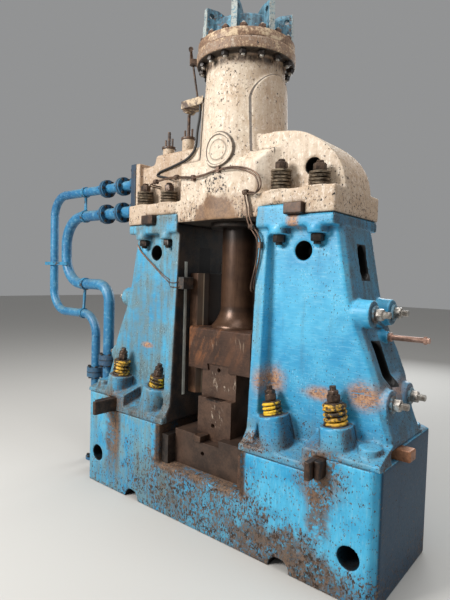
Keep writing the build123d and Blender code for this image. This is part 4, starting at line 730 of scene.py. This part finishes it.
steelKinds = {  # dark and light tones, rust, roughness, metallic, scale of the wear, what only this one has
    "rod_steel": ((62, 43, 32), (96, 70, 53), 0.3, 0.32, 0.45, 4,
                  {"along": (3, 3, 0.12), "lines": 0.3, "zone": rodZone}),
    "ram_steel": ((54, 37, 28), (80, 56, 43), 0.35, 0.46, 0.35, 6, {"along": (0.3, 1, 2), "zone": ramZone}),
    "die_steel": ((60, 43, 34), (93, 70, 56), 0.3, 0.48, 0.35, 8, {"zone": dieZone}),
    "sow_steel": ((52, 40, 33), (84, 64, 52), 0.35, 0.5, 0.35, 6, {}),
    "key_steel": ((58, 42, 34), (110, 82, 64), 0.7, 0.52, 0.35, 14, {}),
    "copper_key": ((120, 80, 56), (176, 124, 90), 0.6, 0.42, 0.35, 10, {}),
    "bolt_steel": ((44, 35, 31), (104, 83, 68), 0.6, 0.42, 0.5, 22, {}),
    "front_key": ((34, 26, 22), (86, 63, 48), 0.6, 0.48, 0.35, 14, {}),
    "pale_steel_and_glint": ((120, 112, 104), (205, 200, 192), 0.3, 0.32, 0.75, 24, {}),
    "shaft_steel": ((150, 112, 96), (205, 168, 150), 0.35, 0.4, 0.5, 12, {}),
    "black_iron_and_shade": ((24, 21, 20), (60, 51, 45), 0.35, 0.42, 0.4, 20, {}),
    "disc_steel": ((56, 46, 39), (176, 160, 138), 0.4, 0.34, 0.5, 24, {}),
    "guide_steel": ((58, 41, 32), (104, 76, 58), 0.25, 0.38, 0.35, 5,
                    {"along": (2, 2, 0.15), "zone": guideZone}),
    "copper_tube": ((62, 46, 37), (110, 86, 70), 0.25, 0.4, 0.5, 12, {}),
    "pale_strip": ((164, 168, 162), (212, 215, 207), 0.25, 0.45, 0.2, 7, {"along": (2, 2, 0.2)}),
}
smallKinds = {  # colour, what is under it, where the wear begins, roughness
    "yellow_coil": ((226, 182, 36), (52, 40, 28), 0.55, 0.5),
    "amber_coil": ((212, 164, 52), (46, 36, 27), 0.53, 0.5),
    "blue_steel": ((112, 150, 168), (78, 68, 62), 0.55, 0.4),
    "dark_plate": ((26, 52, 74), (60, 50, 44), 0.6, 0.5),
    "blue_small": ((54, 130, 168), (62, 50, 44), 0.60, 0.5),
    "black_rubber": ((28, 28, 29), (54, 50, 46), 0.7, 0.5),
    "grey_box": ((44, 43, 41), (74, 60, 50), 0.58, 0.5),
    "bracket_paint": ((190, 168, 138), (78, 60, 48), 0.53, 0.5),
}


def bareSteel(name, dark, light, rust, roughness, metallic, scale, along=(1, 1, 1), lines=0.5, zone=None):
    # worn brown steel with scratches along one way and rust in patches; a zone adds masks with their colours
    paint = Paint(name, roughness, metallic)
    broad = paint.noise(scale, 6, 0.62)
    scratch = paint.noise(70, 4, 0.6, stretch=along)
    fine = paint.noise(90, 6, 0.68, shift=3.3)
    paint.colour = paint.mix((broad + (scratch - 0.5) * lines).step(0.3, 0.72), dark, light)
    patch = (paint.noise(scale * 0.8, 8, 0.7, shift=5.1) + (fine - 0.5) * 0.2).step(0.56, 0.66, rust)
    paint.lay(patch, rustOn(paint, fine))
    for share, shade in (zone(paint, broad, fine) if zone else []):
        paint.lay(share, shade)
    paint.finish(roughness - 0.125 + 0.25 * scratch + 0.3 * patch, scratch * 0.3 + fine * 0.4, 0.0012, 0.45)


def paintedSmall(name, colour, under, amount, roughness):
    # a small painted piece whose colour has worn through to what is under it
    paint = Paint(name, roughness)
    fine = paint.noise(55, 7, 0.7)
    broad = paint.noise(14, 5, 0.6, shift=2.7)
    worn = (broad * 0.6 + fine * 0.5).step(amount - 0.04, amount + 0.06)
    dim = (*(0.7 * part for part in colour[:3]), 1)
    paint.colour = paint.mix(broad.step(0.4, 0.6), colour, dim)
    paint.lay(worn, under)
    paint.finish(roughness + 0.25 * fine - 0.1, fine - worn * 0.5, 0.001, 0.4)


for name, (dark, light, rust, roughness, metallic, scale, own) in steelKinds.items():
    bareSteel(name, tone(*dark), tone(*light), rust, roughness, metallic, scale, **own)
for name, (colour, under, amount, roughness) in smallKinds.items():
    paintedSmall(name, tone(*colour), tone(*under), amount, roughness)
print("materials made:", len(finishes))


# Finish of the frame's own pieces

castings = {  # finish, size of the remesh's grid, rounds of smoothing
    "anvil_block": ("blue_anvil", 0.0115, 4),
    "left_column": ("blue_column", 0.0085, 4),
    "right_column": ("blue_column", 0.0085, 4),
    "cylinder_block": ("cream_cap", 0.0094, 3),
}
machined = {  # finish and width of the broken edges
    "cylinder_cover": ("cover_paint", 0.004),
    "chest_end_plate": ("dark_plate", 0.004),
    "inlet_pipe": ("blue_pipe", 0),
    "outlet_pipe": ("blue_pipe", 0),
    "pipe_clamps": ("blue_small", 0),
    "ram": ("ram_steel", 0.006),
    "piston_rod": ("rod_steel", 0),
    "upper_die": ("die_steel", 0.003),
    "lower_die": ("die_steel", 0.003),
    "lower_die_key": ("front_key", 0.003),
    "sow_block": ("sow_steel", 0.005),
    "left_sow_key": ("black_iron_and_shade", 0.002),
    "right_sow_key": ("key_steel", 0.002),
    "packing_gland": ("black_iron_and_shade", 0.002),
    "side_shaft": ("shaft_steel", 0.001),
    "lever_rod": ("bolt_steel", 0),
    "lever_bracket": ("bracket_paint", 0.003),
    "throttle_gland": ("throttle_paint", 0.001),
    "valve_gland": ("valve_paint", 0.001),
    "oil_tubes": ("copper_tube", 0),
    "oil_hose": ("black_rubber", 0),
    "lubricator": ("grey_box", 0.002),
}
for side in ("left", "right"):
    machined[side + "_guide"] = ("guide_steel", 0.003)
    machined[side + "_side_key"] = ("copper_key", 0.004)
    machined[side + "_front_keys"] = ("front_key", 0.004)
    machined[side + "_cap_keys"] = ("front_key", 0.003)


def dress(name, finish):
    node = nodes[name]
    node.data.materials.clear()
    node.data.materials.append(finishes[finish])
    node.modifiers.new("weld", "WELD").merge_threshold = 0.00005
    return node


for name, (finish, voxel, rounds) in castings.items():
    node = dress(name, finish)
    cast = node.modifiers.new("cast", "REMESH")
    cast.mode, cast.voxel_size, cast.use_smooth_shade = "VOXEL", voxel, True
    soft = node.modifiers.new("soft", "SMOOTH")
    soft.factor, soft.iterations = 0.5, rounds
for name, (finish, edge) in machined.items():
    node = dress(name, finish)
    if edge:
        flat = node.modifiers.new("flat", "DECIMATE")
        flat.decimate_type, flat.angle_limit = "DISSOLVE", math.radians(1.5)
        bevel = node.modifiers.new("edge", "BEVEL")
        bevel.width, bevel.segments = edge, 2
        bevel.limit_method, bevel.angle_limit = "ANGLE", math.radians(35)
print("frame dressed")


# Springs, nuts and studs of the columns: made for the right half, and flipped for the left

footBolts = {  # seat, way up, spring and its wire
    "inner": {"at": (0.512, 0.298, 0.845), "axis": (-0.2079, 0, 0.9781), "height": 0.078,
              "radius": 0.0485, "wire": 0.0092, "turns": 3.9},
    "outer": {"at": (0.918, 0.298, 0.872), "axis": (-0.1392, 0, 0.9903), "height": 0.118,
              "radius": 0.0550, "wire": 0.0105, "turns": 4.9},
}
footNuts = {"across": 0.062, "height": 0.048, "lockAcross": 0.056, "lockHeight": 0.022, "stud": 0.021,
            "end": 0.026, "washer": 0.052, "washerHeight": 0.007, "seatEdge": 0.014, "seatHeight": 0.005}
capBolts = {"x": (0.478, 0.734), "y": 0.243, "seat": 2.178, "lowSeat": 1.913, "pitch": 0.020, "radius": 0.062,
            "bore": 0.024, "across": 0.066, "height": 0.044, "stud": 0.022, "end": 0.016,
            "counts": {"right": (6, 4), "left": (4, 5)}}
sideBolts = {"places": ((1.040, 0.138, 1.472), (1.157, 0.138, 1.000)), "washer": 0.048, "washerHeight": 0.014,
             "across": 0.062, "height": 0.036, "stud": 0.019, "end": 0.040}
upright, down = (0, 0, 1), (0, 0, -1)


def footStack(bolt, spin):
    # seat washer, washer on the spring, nut, lock nut and the stud through them all
    top, nut, lock = bolt["height"], footNuts["height"], footNuts["lockHeight"]
    bore, thick = footNuts["stud"] + 0.001, footNuts["washerHeight"]
    return [(washerOf(bore, bolt["radius"] + footNuts["seatEdge"], footNuts["seatHeight"]), 0, 0),
            (washerOf(bore, footNuts["washer"], thick), top - 0.002, 0),
            (nutOf(footNuts["across"], nut - thick), top + thick, spin),
            (nutOf(footNuts["lockAcross"], lock), top + nut, spin + 0.6),
            (studOf(footNuts["stud"] - 0.002, top + nut + lock + footNuts["end"] - 0.002), 0.001, 0)]


def discPair():
    # two dished washers face to face, so that their rims gape
    bore, rim, pitch = capBolts["bore"], capBolts["radius"], capBolts["pitch"]
    low = [(bore, 0.001), (rim - 0.004, 0.0036), (rim, 0.0056), (rim - 0.003, 0.0092), (bore, 0.0068)]
    return ringOf(low), ringOf([(reach, pitch - height) for reach, height in reversed(low)])


for side in ("right", "left"):
    coils = {"inner": [], "outer": []}
    nuts, discs, capNuts, lugNuts, washers, sideNuts = [], [], [], [], [], []
    for which, bolt in footBolts.items():
        spring = coil(bolt["radius"], bolt["wire"], bolt["turns"], bolt["height"])
        for sign in (-1, 1):
            x, y, z = bolt["at"]
            seat, axis, spin = (x, sign * y, z), bolt["axis"], x * 9 + sign
            coils[which].append(put(spring, seat, axis, spin))
            nuts += stacked(seat, axis, footStack(bolt, spin))
    for x, count in zip(capBolts["x"], capBolts["counts"][side]):
        nut = nutOf(capBolts["across"], capBolts["height"])
        top = capBolts["seat"] + count * capBolts["pitch"]
        stud = studOf(capBolts["stud"], top - capBolts["seat"] + capBolts["height"] + capBolts["end"])
        lowStud = studOf(capBolts["stud"], capBolts["height"] + capBolts["end"])
        pairs = [(disc, i * capBolts["pitch"], 0) for i in range(count) for disc in discPair()]
        for sign in (-1, 1):
            y, spin = sign * capBolts["y"], x * 7 + sign
            seat, lug = (x, y, capBolts["seat"]), (x, y, capBolts["lowSeat"])
            discs += stacked(seat, upright, pairs)
            capNuts += [put(nut, (x, y, top), spin=spin), put(stud, seat)]
            lugNuts += stacked(lug, upright, [(nut, -capBolts["height"], spin)]) + [put(lowStud, lug, down)]
    thick = sideBolts["washerHeight"]
    washer = washerOf(sideBolts["stud"], sideBolts["washer"], thick)
    nut = nutOf(sideBolts["across"], sideBolts["height"])
    stud = studOf(sideBolts["stud"], thick + sideBolts["height"] + sideBolts["end"])
    for x, y, z in sideBolts["places"]:
        for sign in (-1, 1):
            seat, axis = (x, sign * y, z), (1, 0, 0)
            washers.append(put(washer, seat, axis))
            sideNuts += stacked(seat, axis, [(nut, thick, z * 5 + sign), (stud, 0, 0)])
    for name, pieces, finish, slot, replaced in [
            ("_inner_coils", coils["inner"], "yellow_coil", "yellow_spring", "_foot_springs"),
            ("_outer_coils", coils["outer"], "amber_coil", "yellow_spring", None),
            ("_foot_nuts", nuts, "bolt_steel", "dark_steel", "_foot_bolts"),
            ("_disc_springs", discs, "disc_steel", "black_spring", "_cap_springs"),
            ("_cap_nuts", capNuts, "bolt_steel", "dark_steel", "_cap_bolts"),
            # the nuts under the lugs are black: painted shade
            ("_lug_nuts", lugNuts, "black_iron_and_shade", "dark_steel", None),
            ("_side_washers", washers, "blue_steel", "blue_steel", "_side_bolts"),
            ("_side_nuts", sideNuts, "pale_steel_and_glint", "blue_steel", None)]:
        pieces = [flipped(piece) for piece in pieces] if side == "left" else pieces
        model(side + name, pieces, finish, replaced=replaced and side + replaced)
print("springs and column bolts made")

coverBolts = {"circle": 0.302, "count": 16, "top": 3.209, "low": 3.077, "across": 0.044, "height": 0.026,
              "stud": 0.014, "end": 0.012}
topNuts, lowNuts, studs = [], [], []
nut = nutOf(coverBolts["across"], coverBolts["height"])
stud = studOf(coverBolts["stud"], coverBolts["height"] + coverBolts["end"], sides=14)
for angle, x, y in around(coverBolts["count"], coverBolts["circle"]):
    top, low = (x, y, coverBolts["top"]), (x, y, coverBolts["low"])
    topNuts.append(put(nut, top, spin=angle * 3))
    lowNuts += stacked(low, upright, [(nut, -coverBolts["height"], angle * 5)])
    studs += [put(stud, top), put(stud, low, down)]
model("cover_top_nuts", topNuts, "key_steel", replaced="cover_bolts")
# the nuts under the crown flange are black: painted shade
model("cover_low_nuts", lowNuts, "black_iron_and_shade")
# pale stud ends: painted glints
model("cover_studs", studs, "pale_steel_and_glint")
print("cover bolts made")


# Crisp surfaces on the cylinder: the badge's disc and rim, and the arched pads over the steam passages

cylinderWall = {"foot": 0.299, "footAt": 2.300, "top": 0.267, "topAt": 3.077}
badgeSet = {"steps": 72, "profile": [  # distance from the middle, and height over the wall
    (0.002, 0.0086), (0.030, 0.0086), (0.060, 0.0086), (0.0625, 0.0108), (0.0665, 0.0108), (0.069, 0.0086),
    (0.094, 0.0086), (0.0962, 0.0100), (0.0975, 0.0150), (0.1000, 0.0165), (0.1070, 0.0165), (0.1100, 0.0148),
    (0.1115, 0.0090), (0.1120, -0.0060), (0.060, -0.0060), (0.002, -0.0060)]}
padEdge = [  # share of the outline, and height over or under the pad's face
    (0.982, -0.001), (0.993, -0.0045), (1.0, -0.011), (1.0, -0.0232), (0.5, -0.0232), (0.01, -0.0232)]


def wallRadius(z):
    # straight up to the foot height, then a cone to the flange
    share = np.clip((z - cylinderWall["footAt"]) / (cylinderWall["topAt"] - cylinderWall["footAt"]), 0, 1)
    return cylinderWall["foot"] + share * (cylinderWall["top"] - cylinderWall["foot"])


def badge():
    # rings of points round the middle, each point proud of the cone by its height in the profile
    reach, proud = np.array(badgeSet["profile"]).T[:, :, None]
    angle = anglesOf(badgeSet["steps"])
    x, z = badgeAt["x"] + reach * np.cos(angle), badgeAt["z"] + reach * np.sin(angle)
    return shell(np.stack([x, -np.sqrt((wallRadius(z) + proud) ** 2 - x ** 2), z], 2))


def padOutline(steps=28):
    # up one side, over the arc through the peak, down the other side and back along the bottom
    half, radius = padSet["half"], padSet["radius"]
    centre = padSet["peak"] - radius
    start = math.atan2(padSet["straight"] - centre, half)
    turn = np.linspace(start, math.pi - start, 2 * steps)
    arc = np.stack([radius * np.cos(turn), centre + radius * np.sin(turn)], 1)
    side = np.linspace(padSet["low"], padSet["straight"], steps, endpoint=False)
    base = np.linspace(-half, half, steps, endpoint=False)[1:]
    up = np.stack([np.full(steps, half), side], 1)
    down = np.stack([np.full(steps, -half), side[::-1]], 1)
    return np.concatenate([up, arc, down, np.stack([base, np.full(steps - 1, padSet["low"])], 1)])


def pad():
    # the outline shrunk to its middle in steps, laid on the cone at each step's height
    outline = padOutline()
    rows = []
    for share, height in [(share, 0) for share in np.linspace(0.01, 0.965, 16)] + padEdge:
        y, z = outline[:, 0] * share, padSet["middle"] + (outline[:, 1] - padSet["middle"]) * share
        rows.append(np.stack([np.sqrt((wallRadius(z) + padSet["proud"] + height) ** 2 - y ** 2), y, z], 1))
    return shell(np.stack(rows))


model("round_badge", [badge()], "cream_fitting", sharp=50)
model("cylinder_pads", [pad(), flipped(pad())], "cream_fitting", sharp=50)
print("badge and pads made")


# Gaskets, nuts and weld beads of the pipes, and nuts of the end plate

pipeSet = {
    "y": -0.120, "face": -0.944, "gaps": (0.190, 0.408), "thickness": 0.042, "width": 0.036, "bolts": 6,
    "across": 0.024, "height": 0.012, "footHeight": 0.022,
    "inlet": {"radius": 0.038, "collar": 0.784, "bends": (0.190, 0.210, 0.180),
              "route": [(-0.944, 2.380), (-2.200, 2.380), (-2.200, 1.290), (-1.505, 1.290), (-1.505, 0.0)]},
    "outlet": {"radius": 0.046, "collar": 0.915, "bends": (0.250, 0.250, 0.150),
               "route": [(-0.944, 2.165), (-1.988, 2.165), (-1.988, 1.558), (-1.322, 1.558), (-1.322, 0.0)]},
}
plateSet = {"x": -0.944, "y": 0.188, "z": (2.080, 2.205, 2.340, 2.475), "topY": (0.02, 0.110),
            "across": 0.034, "height": 0.016}
outwards = (-1, 0, 0)  # the way that the plate and the pipes leave the chest

gaskets, flangeNuts, beads = [], [], []
nut, half = nutOf(pipeSet["across"], pipeSet["height"]), pipeSet["thickness"] / 2
for pipe in (pipeSet["inlet"], pipeSet["outlet"]):
    y, radius, route = pipeSet["y"], pipe["radius"], pipe["route"]
    rim, foot, head = radius + pipeSet["width"] + 0.0012, route[-1][0], route[0][1]
    joints = [((pipeSet["face"] - gap - half, y, head), outwards, half) for gap in pipeSet["gaps"]]
    joints.append(((foot, y, pipe["collar"]), upright, pipeSet["thickness"]))
    bolts = around(pipeSet["bolts"], radius + 0.6 * pipeSet["width"])
    gasket = ringOf([(radius, -0.003), (rim, -0.003), (rim, 0.003), (radius, 0.003)])
    for centre, axis, reach in joints:  # a dark gasket between the halves, and nuts on both faces
        gaskets.append(put(gasket, centre, axis))
        for _, a, b in bolts:
            for z in (-reach - pipeSet["height"], reach):
                flangeNuts.append(put(put(nut, (a, b, z)), centre, axis))
    for _, a, b in bolts:
        flangeNuts.append(put(nut, (pipeSet["face"] - pipeSet["thickness"], y + a, head + b), outwards))
        flangeNuts.append(put(nut, (foot + a, y + b, pipeSet["footHeight"])))
    bead = ringOf([(radius - 0.002, -0.006), (radius + 0.0012, -0.004), (radius + 0.0024, 0),
                   (radius + 0.0012, 0.004), (radius - 0.002, 0.006)], 28)
    for before, corner, after, bend in zip(route, route[1:], route[2:], pipe["bends"]):
        for other in (before, after):
            way = np.array(other) - corner
            way = way / np.linalg.norm(way)
            x, z = corner + way * (bend + 0.006)
            beads.append(put(bead, (x, y, z), (way[0], 0, way[1])))

nut, heights = nutOf(plateSet["across"], plateSet["height"]), plateSet["z"]
places = [(sign * plateSet["y"], z, z) for z in heights for sign in (-1, 1)]
places += [(y, z, y * 9) for y in plateSet["topY"] for z in (heights[0], heights[-1])]
flangeNuts += [put(nut, (plateSet["x"], y, z), outwards, spin) for y, z, spin in places]
model("pipe_gaskets", gaskets, "black_rubber")
model("pipe_nuts", flangeNuts, "black_iron_and_shade")
model("pipe_weld_beads", beads, "blue_pipe")
print("pipe details made")


# Small fittings: bolt in the bracket's hub, unions, lines to the lubricator, the hose's hairpin, wiper strips

hubSet = {"at": (-0.436, -0.138, 2.871), "across": 0.036, "height": 0.014, "washer": (0.008, 0.026, 0.003)}
unionSet = {"radius": 0.016, "half": 0.017, "places": [
    (-0.560, -0.298, 2.326), (-0.344, -0.302, 2.334), (0.265, -0.308, 2.175), (0.316, -0.306, 1.962)]}
lineSet = {
    "radius": 0.0032, "apart": 0.009,
    "far": [(-0.684, -0.227, 1.756), (-0.790, -0.225, 1.833), (-0.839, -0.224, 1.888)],
    "upper": [(-0.322, -0.272, 1.614), (-0.350, -0.2885, 1.604), (-0.395, -0.2880, 1.604),
              (-0.430, -0.262, 1.610), (-0.464, -0.231, 1.622), (-0.538, -0.230, 1.658)],
    "lower": [(-0.312, -0.272, 1.578), (-0.345, -0.2885, 1.572), (-0.392, -0.2880, 1.574),
              (-0.430, -0.262, 1.582), (-0.470, -0.231, 1.600), (-0.545, -0.230, 1.648)],
}
tailSet = {"radius": 0.0085, "route": [
    (-0.628, -0.187, 2.428), (-0.650, -0.188, 2.421), (-0.664, -0.190, 2.408), (-0.654, -0.193, 2.396),
    (-0.615, -0.196, 2.386), (-0.540, -0.205, 2.368), (-0.470, -0.240, 2.350), (-0.430, -0.288, 2.340)]}
stripSet = {"x": (-0.3370, -0.3262), "y": [(-0.214, -0.190), (0.190, 0.214)], "z": (0.800, 1.755)}

washer, nut = washerOf(*hubSet["washer"]), nutOf(hubSet["across"], hubSet["height"])
hub = stacked(hubSet["at"], (0, -1, 0), [(washer, 0, 0), (nut, hubSet["washer"][2], 0.3)])
model("hub_bolt", hub, "bolt_steel")

nut, unions = nutOf(2 * unionSet["radius"], unionSet["half"]), []
for place in unionSet["places"]:
    unions += [put(nut, place, (1, 0, 0)), put(nut, place, (-1, 0, 0), 0.4)]
model("tube_unions", unions, "bolt_steel")

lowFar = [(x, y, z - lineSet["apart"]) for x, y, z in lineSet["far"]]
routes = (lineSet["upper"] + lineSet["far"], lineSet["lower"] + lowFar)
lines = [tubeOn(route, lineSet["radius"], 8) for route in routes]
model("lubricator_lines", lines, "copper_tube")
model("hose_tail", [tubeOn(tailSet["route"], tailSet["radius"], 12)], "black_rubber")

strips = [block(*zip(stripSet["x"], y, stripSet["z"])) for y in stripSet["y"]]
model("wiper_strips", [piece for strip in strips for piece in (strip, flipped(strip))], "pale_strip")
print("small fittings made")


# Floor, light and camera

floorPaint = Paint("floor", 0.85)
floorPaint.join(floorPaint.shader, {"Base Color": tone(196, 194, 190)})
floorMesh = bpy.data.meshes.new("floor")
corners = [(-30, -30, -0.001), (30, -30, -0.001), (30, 30, -0.001), (-30, 30, -0.001)]
floorMesh.from_pydata(corners, [], [(0, 1, 2, 3)])
floorMesh.materials.append(finishes["floor"])
floor = bpy.data.objects.new("floor", floorMesh)
bpy.context.scene.collection.objects.link(floor)

world = bpy.data.worlds.new("studio")
bpy.context.scene.world = world
world.use_nodes = True
background = world.node_tree.nodes["Background"]
background.inputs[0].default_value = (0.93, 0.94, 0.95, 1)
background.inputs[1].default_value = 0.31

lampSet = {  # place, the point it looks at, power, size, colour
    "key": ((-2.2, -5.6, 4.2), (0, 0, 1.4), 480, 2.4, (1.0, 0.98, 0.95)),
    "roof": ((1.0, -1.2, 7.0), (0, 0, 1.6), 200, 4.0, (1.0, 0.99, 0.97)),
    "window": ((6.0, 1.0, 4.2), (0.4, 0, 1.4), 75, 2.5, (0.93, 0.97, 1.0)),
    "back": ((-1.2, 6.5, 3.8), (0, 0, 1.4), 190, 3.5, (0.95, 0.98, 1.0)),
}
for name, (place, aim, power, size, colour) in lampSet.items():
    light = bpy.data.lights.new(name, "AREA")
    light.energy, light.size, light.color = power, size, colour
    made = bpy.data.objects.new(name, light)
    made.location = place
    made.rotation_euler = (Vector(aim) - Vector(place)).to_track_quat("-Z", "Y").to_euler()
    bpy.context.scene.collection.objects.link(made)
bpy.context.scene.view_settings.view_transform = "Standard"

cameraSet = {"at": (2.0624, -2.6501, 1.650), "yaw": 0.691, "pitch": -0.047, "roll": 0.028, "lens": 28.65}
yaw, pitch, roll = cameraSet["yaw"], cameraSet["pitch"], cameraSet["roll"]
ahead = Vector((-math.sin(yaw) * math.cos(pitch), math.cos(yaw) * math.cos(pitch), math.sin(pitch)))
level = Vector((math.cos(yaw), math.sin(yaw), 0))
up = level.cross(ahead)
right = math.cos(roll) * level + math.sin(roll) * up
top = -math.sin(roll) * level + math.cos(roll) * up
cameraData = bpy.data.cameras.new("camera")
cameraData.lens, cameraData.sensor_width, cameraData.sensor_fit = cameraSet["lens"], 36, "AUTO"
camera = bpy.data.objects.new("camera", cameraData)
camera.matrix_world = Matrix.Translation(cameraSet["at"]) @ Matrix((right, top, -ahead)).transposed().to_4x4()
bpy.context.scene.collection.objects.link(camera)
bpy.context.scene.camera = camera
print("stage made")
